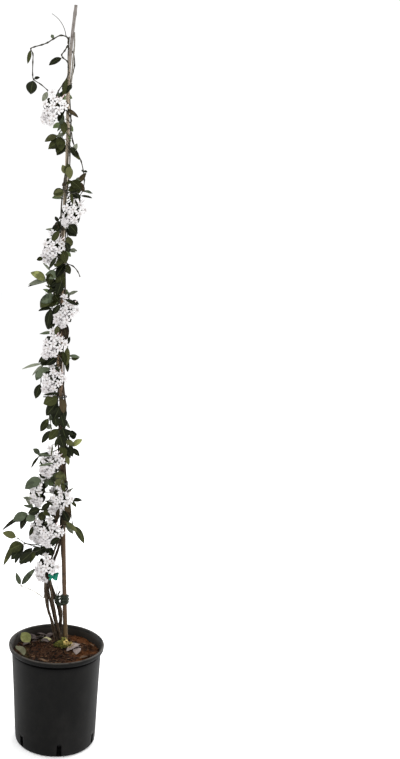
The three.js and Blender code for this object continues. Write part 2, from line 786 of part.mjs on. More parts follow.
// A leaf: an arched blade on a flat petiole that starts inside its shoot.
function makeLeaf(base, tip, up, width, share, grow = 0) {
  const along = tip.clone().sub(base);
  const length = along.length() + grow;
  along.normalize();
  const normal = up.clone().addScaledVector(along, -up.dot(along)).normalize();
  const across = along.clone().cross(normal);
  const isSmall = width < SMALL_BELOW;
  const half = [
    ...(isSmall ? [] : [[share, PETIOLE_R + grow]]),
    ...(width < NARROW_BELOW ? NARROW_BLADE : WIDE_BLADE).map(([at, out]) => [
      share + (1 - share) * at,
      out * (width / 2 + grow),
    ]),
  ];
  const outline = [
    [0, 0],
    ...half.map(([at, out]) => [out, at]),
    [0, 1],
    ...half.map(([at, out]) => [-out, at]).reverse(),
  ];
  const sheet = new THREE.ShapeGeometry(new THREE.Shape(outline.map(([x, y]) => new THREE.Vector2(x, y))));
  const points = sheet.attributes.position;
  for (let i = 0; i < points.count; i++) {
    const [side, at] = [points.getX(i), points.getY(i)];
    const p = base
      .clone()
      .addScaledVector(along, at * length)
      .addScaledVector(across, side)
      .addScaledVector(normal, length * BLADE_ARCH * 4 * at * (1 - at));
    points.setXYZ(i, p.x, p.y, p.z);
  }
  return thickened(mergedSheet(sheet), normal.multiplyScalar(BLADE_THICKNESS + 2 * grow));
}

// Ways to bend a leaf clear: turn about its face, turn about its width, and a shorter length.
const BENDS = [
  [0, 0, 1],
  [10, 0, 1],
  [-10, 0, 1],
  [0, 12, 1],
  [0, -12, 1],
  [18, 10, 1],
  [-18, 10, 1],
  [18, -12, 1],
  [-18, -12, 1],
  [0, 26, 0.95],
  [0, -26, 0.95],
  [32, 0, 0.9],
  [-32, 0, 0.9],
  [28, 24, 0.9],
  [-28, 24, 0.9],
  [28, -24, 0.9],
  [-28, -24, 0.9],
  [0, 42, 0.85],
  [0, -42, 0.85],
  [50, 10, 0.85],
  [-50, 10, 0.85],
  [40, 36, 0.8],
  [-40, 36, 0.8],
  [0, 60, 0.8],
  [0, -60, 0.8],
];

function bentTip(base, tip, up, [turn, dip, size]) {
  const along = tip.clone().sub(base).multiplyScalar(size);
  const forward = along.clone().normalize();
  const normal = up.clone().addScaledVector(forward, -up.dot(forward)).normalize();
  along.applyAxisAngle(normal, turn * DEG);
  const across = forward.applyAxisAngle(normal, turn * DEG).cross(normal);
  return base.clone().add(along.applyAxisAngle(across, dip * DEG));
}

// The face of a leaf looks up and out, with a little roll of its own.
function leafUp(back, draw) {
  const roll = draw() - 0.5;
  return vec(0.7 * roll, back ? 0.6 : -0.75, 0.65).normalize();
}

function addLeaf(owner, base, tip, up, width, share) {
  for (const bend of BENDS) {
    const bent = bentTip(base, tip, up, bend);
    const whole = makeLeaf(base, bent, up, width * bend[2], share, CLEARANCE);
    const bladeFoot = base.clone().lerp(bent, share * 1.6);
    const blade = makeLeaf(bladeFoot, bent, up, width * bend[2], 0.05, CLEARANCE);
    if (isClear(owner, whole, blade)) {
      place(owner, makeLeaf(bladeFoot, bent, up, width * bend[2], 0.05), true);
      return place(owner, makeLeaf(base, bent, up, width * bend[2], share));
    }
  }
  return null;
}

const FLAT_SHARE = 0.92; // a stem's flat sides lie inside its radius

// A shoot starts on the surface of the stem that runs nearest to its first point.
function stemStart(z, toward) {
  const cane = caneAt(z);
  const near = STEMS.filter((s) => s.topZ > z + 5)
    .map((stem) => ({ centre: stemAt(stem, z), radius: stemRadiusAt(stem, z) }))
    .sort((a, b) => a.centre.distanceTo(toward) - b.centre.distanceTo(toward))[0];
  const out = near.centre.clone().sub(cane).setZ(0).normalize();
  const aim = toward.clone().sub(near.centre).setZ(0).normalize();
  const side = out.dot(aim) > -0.3 ? out.add(aim).normalize() : out;
  const foot = near.centre.clone().addScaledVector(side, near.radius * FLAT_SHARE + GAP);
  return [foot, foot.clone().addScaledVector(side, 3)];
}

const START_SHIFTS = [0, 7, -7, 14, -14, 21, -21, 30, -30, 40, -40, -50, -60];
const AXIS_SIDES = 3;

// The first start height from which the whole axis runs clear.
function clearAxis(owner, from, points, radiusAt) {
  for (const shift of START_SHIFTS) {
    const path = [...stemStart(from + shift, points[0]), ...points];
    const steps = path.length > 4 ? Math.round(path.length * 1.25) : path.length;
    const probe = tube(path, (share) => radiusAt(share) + CLEARANCE / 3, AXIS_SIDES, steps);
    if (isClear(owner, probe, probe)) {
      const centres = new THREE.CatmullRomCurve3(path).getSpacedPoints(steps);
      centres[steps].lerp(centres[steps - 1], 0.12); // leaves at the end start inside the axis
      return { solid: tube(path, radiusAt, AXIS_SIDES, steps), centres };
    }
  }
  throw new Error(`${owner} has no clear way to a stem`);
}

const shootRadius = (share) => SHOOT_BASE_R + (SHOOT_TIP_R - SHOOT_BASE_R) * share;

// The point of an axis that lies nearest to another point.
function nearestOn(centres, point) {
  const near = centres
    .slice(1)
    .map((end, i) => new THREE.Line3(centres[i], end).closestPointToPoint(point, true, vec(0, 0, 0)));
  return near.sort((a, b) => a.distanceTo(point) - b.distanceTo(point))[0];
}

function shootAxis(shoot) {
  const points = shoot.path.map((p) => vec(...p));
  const { solid, centres } = clearAxis(shoot.name, shoot.from, points, shootRadius);
  let axis = solid;
  if (shoot.tip) {
    const tip = [nearestOn(centres, points[0]), ...shoot.tip.map((p) => vec(...p))];
    axis = axis.add(tube(tip, (share) => 1 - 0.4 * share, AXIS_SIDES, tip.length - 1));
  }
  return { solid: place(shoot.name, axis), centres };
}

function shootLeaves(shoot, index, centres) {
  const draw = randomStream(500 + index);
  const leaves = [];
  for (const [node, x, y, z, width] of shoot.leaves) {
    const up = leafUp(shoot.back, draw);
    const base = nearestOn(centres, vec(...shoot.path[node]));
    const leaf = addLeaf(shoot.name, base, vec(x, y, z), up, width, PETIOLE_SHARE);
    if (leaf) leaves.push(leaf);
  }
  return leaves;
}

// ---------------------------------------------------------------- flower clusters
// Centre of each cluster and the direction it faces, in degrees round +Z (270 is the front).
const CLUSTERS = [
  { name: "cluster_01", at: [-32, -42, 1624], faces: 262 },
  { name: "cluster_02", at: [22, -42, 1383], faces: 278 },
  { name: "cluster_03", at: [-27, -42, 1296], faces: 262 },
  { name: "cluster_04", at: [7, -44, 1142], faces: 274 },
  { name: "cluster_05", at: [-21, -42, 1058], faces: 266 },
  { name: "cluster_06", at: [-22, -42, 971], faces: 264 },
  { name: "cluster_07", at: [-24, -34, 761], faces: 264 },
  { name: "cluster_08", at: [-51, -24, 678], faces: 250, half: true },
  { name: "cluster_09", at: [3, -32, 661], faces: 276 },
  { name: "cluster_10", at: [-52, -8, 576], faces: 252, half: true },
  { name: "cluster_11", at: [-21, -30, 574], faces: 270 },
  { name: "cluster_12", at: [-30, -22, 478], faces: 266, lacks: 8 },
  { name: "cluster_13", at: [-7, 44, 1170], faces: 95 },
  { name: "cluster_14", at: [-8, 56, 690], faces: 80, lacks: 9 },
];
// A flower's place in its cluster: to the right and up from the centre. A cluster
// can lack one of them, and the half ones stop short of their neighbour.
const FLOWERS = [
  [-2, 34],
  [2, 19],
  [17, 14],
  [29, 3],
  [0, 3],
  [16, -7],
  [-17, 7],
  [-12, -9],
  [3, -21],
  [-20, -25],
  [-5, -35],
];
const HUB_BEHIND = 22; // the flowers' tubes spread from a hub this far behind them
const HUB_R = 4;
const DOME = 0.009; // how fast the cluster's face falls away from its middle
const FLOWER_SHIFTS = [
  [0, 0, 0],
  [0, 0, 3],
  [0, 0, -3],
  [0, 0, 6],
  [0, 0, -6],
  [3, 3, 3],
  [-3, 3, 3],
  [3, -3, 3],
  [-3, -3, 3],
  [4, 4, -5],
  [-4, 4, -5],
  [4, -4, -5],
  [-4, -4, -5],
  [0, 5, 9],
  [0, -5, 9],
];

// A flower in one skin: a five-lobed pinwheel plate that narrows behind into its tube, which ends
// at `foot`. The middle of the plate's upper face is the flower's own point.
function makeFlower(centre, face, spin, radius, foot, grow = 0) {
  const turn = new THREE.Quaternion().setFromUnitVectors(vec(0, 0, 1), face);
  const ring = (height) =>
    Array.from({ length: 10 }, (_, i) => {
      const isTip = i % 2 === 0;
      const reach = (isTip ? radius : FLOWER_EYE_R) + grow;
      const angle = spin + (i * 36 + (isTip ? FLOWER_SWIRL : 0)) * DEG;
      const p = vec(reach * Math.cos(angle), reach * Math.sin(angle), height - (isTip ? 1.2 : 0));
      return p.applyQuaternion(turn).add(centre);
    });
  const positions = [...ring(grow), ...ring(-BLADE_THICKNESS - grow), foot];
  const faces = [
    [1, 3, 5],
    [1, 5, 7],
    [1, 7, 9],
  ];
  for (let tip = 0; tip < 10; tip += 2) {
    const [before, after] = [(tip + 9) % 10, tip + 1];
    faces.push([before, tip, after], [before + 10, after + 10, tip + 10]);
    faces.push([tip, before, before + 10], [tip, before + 10, tip + 10]);
    faces.push([after, tip, tip + 10], [after, tip + 10, after + 10]);
  }
  // Behind the plate the tube has three sides.
  for (const [a, b] of [
    [11, 13],
    [13, 17],
    [17, 11],
  ])
    faces.push([b, a, 20]);
  faces.push([15, 13, 17], [19, 17, 11]);
  return solidFrom(positions, faces);
}

// A cluster's own directions: right, up and the way it faces.
function clusterFrame(cluster) {
  const face = vec(Math.cos(cluster.faces * DEG), Math.sin(cluster.faces * DEG), 0);
  const right = vec(-face.y, face.x, 0);
  const centre = vec(...cluster.at);
  const spot = (side, rise, out) =>
    centre.clone().addScaledVector(right, side).addScaledVector(face, out).add(vec(0, 0, rise));
  return { face, right, spot };
}

const clusterHub = (cluster) => clusterFrame(cluster).spot(-2, -4, -HUB_BEHIND);

function clusterStalk(cluster) {
  const hub = clusterHub(cluster);
  const stalk = clearAxis(cluster.name, cluster.at[2] - 14, [hub], () => 1.3);
  return place(cluster.name, stalk.solid.add(ballAt(hub, HUB_R)));
}

function clusterFlowers(cluster, index) {
  const draw = randomStream(900 + index);
  const { face, right, spot } = clusterFrame(cluster);
  const hub = clusterHub(cluster);
  const made = [];
  for (const [which, [side, rise]] of FLOWERS.entries()) {
    const spin = draw() * 72 * DEG;
    const lean = [draw() - 0.5, draw() - 0.5];
    const radius = FLOWER_R * (0.9 + 0.15 * draw());
    if (cluster.half && side > 8) continue;
    if (cluster.lacks === which) continue;
    const out = 3 - DOME * (side * side + rise * rise);
    const look = face
      .clone()
      .addScaledVector(right, side * 0.018 + lean[0] * 0.5)
      .add(vec(0, 0, rise * 0.014 + 0.12 + lean[1] * 0.5))
      .normalize();
    for (const shift of FLOWER_SHIFTS) {
      const centre = spot(side + shift[0], rise + shift[1], out + shift[2]);
      const neck = hub.clone().lerp(centre, 0.4);
      const whole = makeFlower(centre, look, spin, radius, hub, CLEARANCE);
      const front = makeFlower(centre, look, spin, radius, neck, CLEARANCE);
      if (isClear(cluster.name, whole, front)) {
        place(cluster.name, makeFlower(centre, look, spin, radius, neck), true);
        made.push(place(cluster.name, makeFlower(centre, look, spin, radius, hub)));
        break;
      }
    }
  }
  return made;
}

// ---------------------------------------------------------------- fallen leaves on the soil
// Base and tip over the soil, how high above it each lies, and the width.
const FALLEN = [
  { name: "fallen_leaf_left", base: [-70, 42, 1], tip: [-94, 62, 26], width: 25 },
  { name: "fallen_leaf_pale", base: [-10, 66, 1], tip: [-42, 58, 1.5], width: 15 },
  { name: "fallen_leaf_dry", base: [28, 6, 1], tip: [64, 22, 2], width: 17 },
];

function makeFallen({ name, base, tip, width }) {
  const onSoil = ([x, y, rise], lift) => vec(x, y, soilHeight(x, y) + rise + lift);
  for (let lift = 0; lift < 8; lift += 0.25) {
    const ends = [onSoil(base, lift), onSoil(tip, lift)];
    const whole = makeLeaf(...ends, vec(0, 0, 1), width, PETIOLE_SHARE, GAP / 2);
    if (isClear(name, whole, whole)) {
      return place(name, makeLeaf(...ends, vec(0, 0, 1), width, PETIOLE_SHARE));
    }
  }
  throw new Error(`${name} finds no place on the soil`);
}

// ---------------------------------------------------------------- assembly
const holes = [makeCane(GAP), ...STEMS.map((stem) => makeStem(stem, GAP))];
addNode("pot", place("pot", makePot()), POT_PLASTIC);
addNode("soil", place("soil", makeSoil(holes)), BARK_SOIL);
const rings = CANE_NODES.map(caneRing);
addNode("cane", place("cane", fused([makeCane(0), ...rings])), BAMBOO);
for (const stem of STEMS) addNode(stem.name, place(stem.name, makeStem(stem, 0)), WOODY_STEM);
for (const [name, solid, material] of makeTies()) addNode(name, place(name, solid), material);

const shoots = [...SHOOTS, ...BACK_SHOOTS.map(backShoot)];
const axes = shoots.map(shootAxis);
const stalks = CLUSTERS.map(clusterStalk);
CLUSTERS.forEach((cluster, i) => {
  addNode(cluster.name, fused([stalks[i], ...clusterFlowers(cluster, i)]), PETAL_WHITE);
});
shoots.forEach((shoot, i) => {
  addNode(shoot.name, fused([axes[i].solid, ...shootLeaves(shoot, i, axes[i].centres)]), LEAF_GREEN);
});
for (const leaf of FALLEN) addNode(leaf.name, makeFallen(leaf), OLD_LEAF);

export default jasmine;
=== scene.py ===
# A potted star jasmine on its cane, dressed for its portrait. Metres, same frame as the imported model.
import random
from math import cos, exp, hypot, pi, radians, sin, sqrt
import bmesh
import bpy
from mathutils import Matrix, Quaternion, Vector, noise
from mathutils.kdtree import KDTree


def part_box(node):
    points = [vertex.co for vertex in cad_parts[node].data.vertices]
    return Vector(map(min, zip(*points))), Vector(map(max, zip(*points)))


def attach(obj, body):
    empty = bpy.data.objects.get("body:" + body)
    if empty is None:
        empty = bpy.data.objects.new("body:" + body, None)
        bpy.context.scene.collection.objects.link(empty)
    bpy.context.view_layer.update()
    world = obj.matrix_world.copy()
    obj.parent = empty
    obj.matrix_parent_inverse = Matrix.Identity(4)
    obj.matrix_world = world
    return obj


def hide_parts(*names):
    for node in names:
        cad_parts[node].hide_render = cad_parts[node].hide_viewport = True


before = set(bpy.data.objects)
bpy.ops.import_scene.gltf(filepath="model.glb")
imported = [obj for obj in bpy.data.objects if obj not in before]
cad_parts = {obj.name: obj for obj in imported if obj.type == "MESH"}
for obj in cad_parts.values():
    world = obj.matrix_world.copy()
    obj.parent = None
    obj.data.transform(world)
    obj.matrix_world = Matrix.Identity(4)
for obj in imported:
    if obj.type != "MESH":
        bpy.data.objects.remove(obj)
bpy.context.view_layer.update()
mm = 0.001
up = Vector((0, 0, 1))
print("frame loaded")

viewSettings = {"place": (0, -2.5, 1.39), "tiltDown": 9.63, "roll": 1.0, "lens": 48.0, "shiftX": 0.183}


def addObject(name, data):
    made = bpy.data.objects.new(name, data)
    bpy.context.scene.collection.objects.link(made)
    return made


def placeCamera():
    data = bpy.data.cameras.new("portraitCamera")
    data.lens = viewSettings["lens"]
    data.sensor_width = 36
    data.shift_x = viewSettings["shiftX"]
    data.clip_end = 60
    camera = addObject("portraitCamera", data)
    tilt = Quaternion((1, 0, 0), radians(90 - viewSettings["tiltDown"]))
    camera.rotation_mode = "QUATERNION"
    camera.rotation_quaternion = tilt @ Quaternion((0, 0, 1), radians(viewSettings["roll"]))
    camera.location = viewSettings["place"]
    bpy.context.scene.camera = camera
    bpy.context.scene.view_settings.view_transform = "Standard"


placeCamera()

lightSettings = {
    "skyColour": (1.0, 1.0, 1.0, 1), "skyStrength": 1.05, "aim": (0, 0, 0.9), "floorRadius": 14,
    # place, size and power of each lamp
    "lamps": {"key": ((-2.2, -3.0, 3.4), 2.4, 70), "fill": ((2.6, -2.6, 1.8), 2.2, 34),
              "rim": ((0.8, 2.6, 2.8), 2.0, 40), "left": ((-2.8, 1.7, 0.9), 1.7, 46),
              "right": ((2.7, 1.8, 0.9), 1.7, 125)},
}


def placeLights():
    world = bpy.data.worlds.new("studioAir")
    bpy.context.scene.world = world
    world.use_nodes = True
    sky = world.node_tree.nodes["Background"]
    sky.inputs["Color"].default_value = lightSettings["skyColour"]
    sky.inputs["Strength"].default_value = lightSettings["skyStrength"]
    for name, (place, size, power) in lightSettings["lamps"].items():
        data = bpy.data.lights.new(name + "Light", "AREA")
        data.shape = "DISK"
        data.size = size
        data.energy = power
        lamp = addObject(name + "Light", data)
        lamp.location = place
        aim = Vector(lightSettings["aim"]) - lamp.location
        lamp.rotation_euler = aim.to_track_quat("-Z", "Y").to_euler()


placeLights()
print("camera and lights placed")


# --- small tools for mesh and nodes
def spotAt(x, y, z=0):  # from millimetres
    return Vector((x, y, z)) * mm


def heading(angle, rise=0):
    return Vector((cos(angle), sin(angle), rise))


def startMesh():
    bm = bmesh.new()
    bm.verts.layers.float.new("vary")
    bm.loops.layers.uv.new("bladeUv")
    return bm


def meshFrom(name, bm):
    mesh = bpy.data.meshes.new(name)
    bm.to_mesh(mesh)
    bm.free()
    return mesh


def endMesh(name, bm, materials, node=None, smooth=True):
    for face in bm.faces:
        face.smooth = smooth
    mesh = meshFrom(name, bm)
    for material in materials:
        mesh.materials.append(material)
    piece = addObject(name, mesh)
    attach(piece, "root")
    if node:
        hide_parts(node)
    return piece


def addVert(bm, place, vary=0.5):
    vert = bm.verts.new(place)
    vert[bm.verts.layers.float["vary"]] = vary
    return vert


# a closed round tube along centres; radius is a function of the share of its length, or two ends in mm
def sweepTube(bm, centres, radius, sides, material=0, vary=0.5):
    def radiusAt(share):
        if callable(radius):
            return radius(share)
        return (radius[0] + (radius[1] - radius[0]) * share) * mm

    last = len(centres) - 1
    turns = [2 * pi * k / sides for k in range(sides)]
    rings, lean = [], None
    for i, centre in enumerate(centres):
        ahead = (centres[min(i + 1, last)] - centres[max(i - 1, 0)]).normalized()
        lean = ahead.orthogonal() if lean is None else lean - ahead * lean.dot(ahead)
        lean.normalize()
        across = ahead.cross(lean)
        reach = radiusAt(i / last)
        rings.append([addVert(bm, centre + (lean * cos(a) + across * sin(a)) * reach, vary) for a in turns])
    made = [bm.faces.new(rings[0][::-1]), bm.faces.new(rings[-1])]
    for low, high in zip(rings, rings[1:]):
        for k in range(sides):
            following = (k + 1) % sides
            made.append(bm.faces.new((low[k], low[following], high[following], high[k])))
    for face in made:
        face.material_index = material


# a turned shape from (radius, height) rows round a centre
def turnProfile(bm, rows, segments, centre=Vector(), material=0, closed=False, wobble=lambda angle, row: 0):
    rings = []
    for row, (radius, height) in enumerate(rows):
        if radius < 1e-6:
            rings.append([addVert(bm, centre + up * height)] * segments)
            continue
        ring = []
        for k in range(segments):
            angle = 2 * pi * k / segments
            reach = radius + wobble(angle, row)
            ring.append(addVert(bm, centre + Vector((reach * cos(angle), reach * sin(angle), height))))
        rings.append(ring)
    pairs = list(zip(rings, rings[1:])) + ([(rings[-1], rings[0])] if closed else [])
    for low, high in pairs:
        for k in range(segments):
            following = (k + 1) % segments
            corners = list(dict.fromkeys((low[k], low[following], high[following], high[k])))
            if len(corners) > 2:
                bm.faces.new(corners).material_index = material


# a curve through points, eased by the root of the distances between them
def smoothPath(points, perSpan):
    ends = [points[0] * 2 - points[1]] + points + [points[-1] * 2 - points[-2]]
    path = []
    for a, b, c, d in zip(ends, ends[1:], ends[2:], ends[3:]):
        before, span, after = (max((q - p).length, 1e-6) ** 0.5 for p, q in ((a, b), (b, c), (c, d)))
        leave = ((b - a) / before - (c - a) / (before + span) + (c - b) / span) * span
        reach = ((c - b) / span - (d - b) / (span + after) + (d - c) / after) * span
        for k in range(perSpan):
            t = k / perSpan
            path.append(b * (2 * t**3 - 3 * t**2 + 1) + leave * (t**3 - 2 * t**2 + t)
                        + c * (3 * t**2 - 2 * t**3) + reach * (t**3 - t**2))
    path.append(points[-1].copy())
    return path


def pathLength(path):
    return sum((b - a).length for a, b in zip(path, path[1:]))


def blendRows(rows, at):
    for (a, low), (b, high) in zip(rows, rows[1:]):
        if at <= b:
            return low + (high - low) * (at - a) / (b - a)
    return rows[-1][1]


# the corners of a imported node, each once
def packedCorners(node):
    found = {tuple(round(c, 5) for c in v.co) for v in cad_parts[node].data.vertices}
    return [Vector(c) for c in sorted(found, key=lambda c: c[2])]


def placeTree(places):
    tree = KDTree(len(places))
    for i, place in enumerate(places):
        tree.insert(place, i)
    tree.balance()
    return tree


# the same seeded stream as the solids were laid out with
def randomStream(seed):
    state = seed

    def draw():
        nonlocal state
        state = (state + 0x6D2B79F5) & 0xFFFFFFFF
        t = ((state ^ (state >> 15)) * (state | 1)) & 0xFFFFFFFF
        t ^= (t + ((t ^ (t >> 7)) * (t | 61))) & 0xFFFFFFFF
        return ((t ^ (t >> 14)) & 0xFFFFFFFF) / 4294967296

    return draw


# a socket takes a link, a number, or a colour of three shares
def fill(tree, sockets, values):
    for name, value in values.items():
        if isinstance(value, bpy.types.NodeSocket):
            tree.links.new(value, sockets[name])
        else:
            sockets[name].default_value = (*value, 1) if sockets[name].type == "RGBA" else value


def put(tree, kind, inputs=None, **values):
    node = tree.nodes.new("ShaderNode" + kind)
    for name, value in values.items():
        setattr(node, name, value)
    fill(tree, node.inputs, inputs or {})
    return node.outputs


# a group with its inputs in their order
def use(tree, group, *values):
    return put(tree, "Group", dict(enumerate(values)), node_tree=group)


def mix(tree, factor, first, second):
    return put(tree, "Mix", {0: factor, 6: first, 7: second}, data_type="RGBA")[2]


def doMath(tree, way, *values, clamp=False):
    return put(tree, "Math", dict(enumerate(values)), operation=way, use_clamp=clamp)[0]


def times(tree, first, second):
    return doMath(tree, "MULTIPLY", first, second)


def ramp(tree, value, low, high):
    return put(tree, "MapRange", {"Value": value, "From Min": low, "From Max": high},
               interpolation_type="SMOOTHSTEP")["Result"]


def cloud(tree, place, scale, detail=2.0, roughness=0.5):
    inputs = {"Vector": place, "Scale": scale, "Detail": detail, "Roughness": roughness}
    return put(tree, "TexNoise", inputs)["Fac"]


def objectPlace(tree, stretch=None):
    place = put(tree, "TexCoord")["Object"]
    return put(tree, "VectorMath", {0: place, 1: stretch}, operation="MULTIPLY")[0] if stretch else place


def axis(tree, vector, name):
    return put(tree, "SeparateXYZ", {"Vector": vector})[name]


def startGroup(name, inputs, outputs):
    group = bpy.data.node_groups.new(name, "ShaderNodeTree")
    kinds = {True: "NodeSocketColor", False: "NodeSocketFloat"}
    for label, value in inputs.items():
        isColour = isinstance(value, tuple)
        socket = group.interface.new_socket(name=label, in_out="INPUT", socket_type=kinds[isColour])
        socket.default_value = (*value, 1) if isColour else value
    for label in outputs:
        group.interface.new_socket(name=label, in_out="OUTPUT", socket_type=kinds[label == "Colour"])
    return group, group.nodes.new("NodeGroupInput").outputs, group.nodes.new("NodeGroupOutput").inputs


# blotches of a second colour over the first
def buildMottle():
    inputs = {"Colour": (0.5, 0.5, 0.5), "Second": (0.3, 0.3, 0.3), "Scale": 60.0, "Threshold": 0.5}
    group, given, out = startGroup("mottle", inputs, ["Colour", "Mask", "Height"])
    patches = cloud(group, objectPlace(group), given["Scale"], 5.0, 0.6)
    mask = ramp(group, doMath(group, "SUBTRACT", patches, given["Threshold"]), -0.1, 0.12)
    fill(group, out, {"Colour": mix(group, mask, given["Colour"], given["Second"]), "Mask": mask,
                      "Height": patches})
    return group


# fibres and cracks that run up a stem or a cane
def buildFibre():
    inputs = {"Colour": (0.5, 0.4, 0.3), "Second": (0.1, 0.08, 0.06), "Scale": 500.0, "Depth": 0.5}
    group, given, out = startGroup("fibre", inputs, ["Colour", "Height"])
    strands = cloud(group, objectPlace(group, (1, 1, 0.11)), given["Scale"], 6.0, 0.65)
    groove = times(group, ramp(group, strands, 0.56, 0.4), given["Depth"])
    fill(group, out, {"Colour": mix(group, groove, given["Colour"], given["Second"]), "Height": strands})
    return group


# a place on a blade, across and along it
def bladePlace(tree):
    return put(tree, "UVMap", uv_map="bladeUv")["UV"]


# midrib and side veins from a blade's own coordinates
def buildVeins():
    group, given, out = startGroup("veins", {"Pairs": 9.0, "Rib Width": 0.07}, ["Rib", "Vein", "Height"])
    blade = bladePlace(group)
    side = doMath(group, "ABSOLUTE", doMath(group, "MULTIPLY_ADD", axis(group, blade, "X"), 2.0, -1.0))
    rib = ramp(group, doMath(group, "DIVIDE", side, given["Rib Width"]), 1.0, 0.35)
    phase = doMath(group, "MULTIPLY_ADD", axis(group, blade, "Y"), given["Pairs"], times(group, side, -1.7))
    wave = ramp(group, doMath(group, "PINGPONG", phase, 0.5), 0.09, 0.02)
    vein = times(group, wave, ramp(group, side, 1.0, 0.7))
    hollow = doMath(group, "MULTIPLY_ADD", rib, -1.0, times(group, vein, -0.45))
    fill(group, out, {"Rib": rib, "Vein": vein, "Height": hollow})
    return group


# pale dust that settles on what faces up
def buildDust():
    inputs = {"Colour": (0.1, 0.1, 0.1), "Second": (0.4, 0.38, 0.35), "Amount": 0.3, "Scale": 25.0}
    group, given, out = startGroup("dust", inputs, ["Colour", "Mask"])
    facing = ramp(group, axis(group, put(group, "NewGeometry")["Normal"], "Z"), -0.3, 0.9)
    patches = ramp(group, cloud(group, objectPlace(group), given["Scale"], 7.0, 0.7), 0.35, 0.75)
    mask = doMath(group, "MULTIPLY", times(group, facing, patches), given["Amount"], clamp=True)
    fill(group, out, {"Colour": mix(group, mask, given["Colour"], given["Second"]), "Mask": mask})
    return group


mottle, fibre, veins, dust = buildMottle(), buildFibre(), buildVeins(), buildDust()


def startMaterial(name, roughness, specular):
    material = bpy.data.materials.new(name)
    material.use_nodes = True
    tree = material.node_tree
    fill(tree, tree.nodes["Principled BSDF"].inputs, {"Roughness": roughness, "Specular IOR Level": specular})
    return material, tree


# bump is a height with its strength and distance
def endMaterial(material, colour, bump=None, **more):
    tree = material.node_tree
    if bump:
        more["Normal"] = put(tree, "Bump", dict(zip(("Height", "Strength", "Distance"), bump)))["Normal"]
    fill(tree, tree.nodes["Principled BSDF"].inputs, {"Base Color": colour, **more})
    return material


def makeMottledSkin(name, colour, second, scale=220.0, threshold=0.5, roughness=0.6, specular=0.12,
                    bump=(0.3, 0.0004)):
    material, tree = startMaterial(name, roughness, specular)
    mottled = use(tree, mottle, colour, second, scale, threshold)
    return endMaterial(material, mottled["Colour"], bump and (mottled["Height"], *bump))


print("shader groups built")

# --- pot
potSettings = {
    "segments": 160, "slotCount": 6, "slotFirst": -84, "slotReach": 0.102, "slotDepth": 0.016,
    "slotWidth": 0.014, "slotTop": 0.8, "slotHeight": 0.031, "slotFoot": 0.0035,
    "colour": (0.0026, 0.0026, 0.0025), "scuff": (0.0060, 0.0059, 0.0057), "dust": (0.07, 0.063, 0.052),
    # the lip's pale crown colour is a painted highlight; the near-black colour and the band of faces under the
    # rim (next row) are painted shade
    "film": (0.025, 0.0215, 0.018), "paintedLipHighlight": (0.046, 0.042, 0.037), "paintedRimShade": (0.0004, 0.0004, 0.0004),
    "rimShadeZ": (0.2448, 0.2536), "rimShadeReach": 0.1155,
    # radius and height in millimetres: outside from the base up, over the lip, inside down
    "profile": [(0, 0.4), (88, 0.4), (91, 1.6), (94, 1.6), (96, 0.2), (99.4, 0.2), (101.5, 1.4), (104.6, 5),
                (106.0, 14), (107, 30), (107.6, 44), (108.7, 70), (110.6, 120), (112.9, 170), (115.2, 215),
                (116.4, 240), (116.6, 245), (116.7, 248), (117.2, 251.5), (119.6, 252.3), (122.6, 253.2),
                (123.8, 255.2), (124.4, 258.8), (124.9, 262.2), (124.6, 264.6), (123.2, 265.9), (121.2, 266),
                (119.8, 265.2), (117.6, 262.6), (115.6, 259.0), (114.6, 254), (114.2, 247), (112.6, 215),
                (110.2, 168), (108.0, 120), (106.1, 70), (104.5, 30), (98, 2.5), (0, 2.5)],
}


def makePotMaterial():
    material, tree = startMaterial("potPlastic", 0.5, 0.078)
    scuff = potSettings["scuff"]
    scuffed = use(tree, mottle, potSettings["colour"], scuff, 7.0, 0.56)
    runs = cloud(tree, objectPlace(tree, (1, 1, 0.06)), 38.0, 4.0)
    streaked = mix(tree, times(tree, ramp(tree, runs, 0.55, 0.75), 0.5), scuffed["Colour"], scuff)
    dusted = use(tree, dust, streaked, potSettings["dust"], 0.3, 30.0)
    height = axis(tree, objectPlace(tree), "Z")
    reach = put(tree, "VectorMath", {0: objectPlace(tree, (1, 1, 0))}, operation="LENGTH")["Value"]
    # a film of soil inside, a painted highlight along the crown of the lip and painted shade under the lip,
    # each between its bounds
    layers = (("film", 0.8, ((reach, 0.1162, 0.1152), (height, 0.236, 0.24))),
              ("paintedLipHighlight", 1.0, ((reach, 0.1158, 0.1162), (height, 0.2632, 0.2655), (runs, 0.3, 0.5))),
              ("paintedRimShade", 1.0, ((height, 0.234, 0.246), (height, 0.257, 0.253), (reach, 0.1148, 0.1154))))
    whole = dusted["Colour"]
    for name, share, bounds in layers:
        for bound in bounds:
            share = times(tree, ramp(tree, *bound), share)
        whole = mix(tree, share, whole, potSettings[name])
    rough = doMath(tree, "MULTIPLY_ADD", runs, 0.22, 0.42)
    return endMaterial(material, whole, (cloud(tree, objectPlace(tree), 900.0), 0.25, 0.0006),
                       Roughness=doMath(tree, "MULTIPLY_ADD", dusted["Mask"], 0.3, rough, clamp=True))


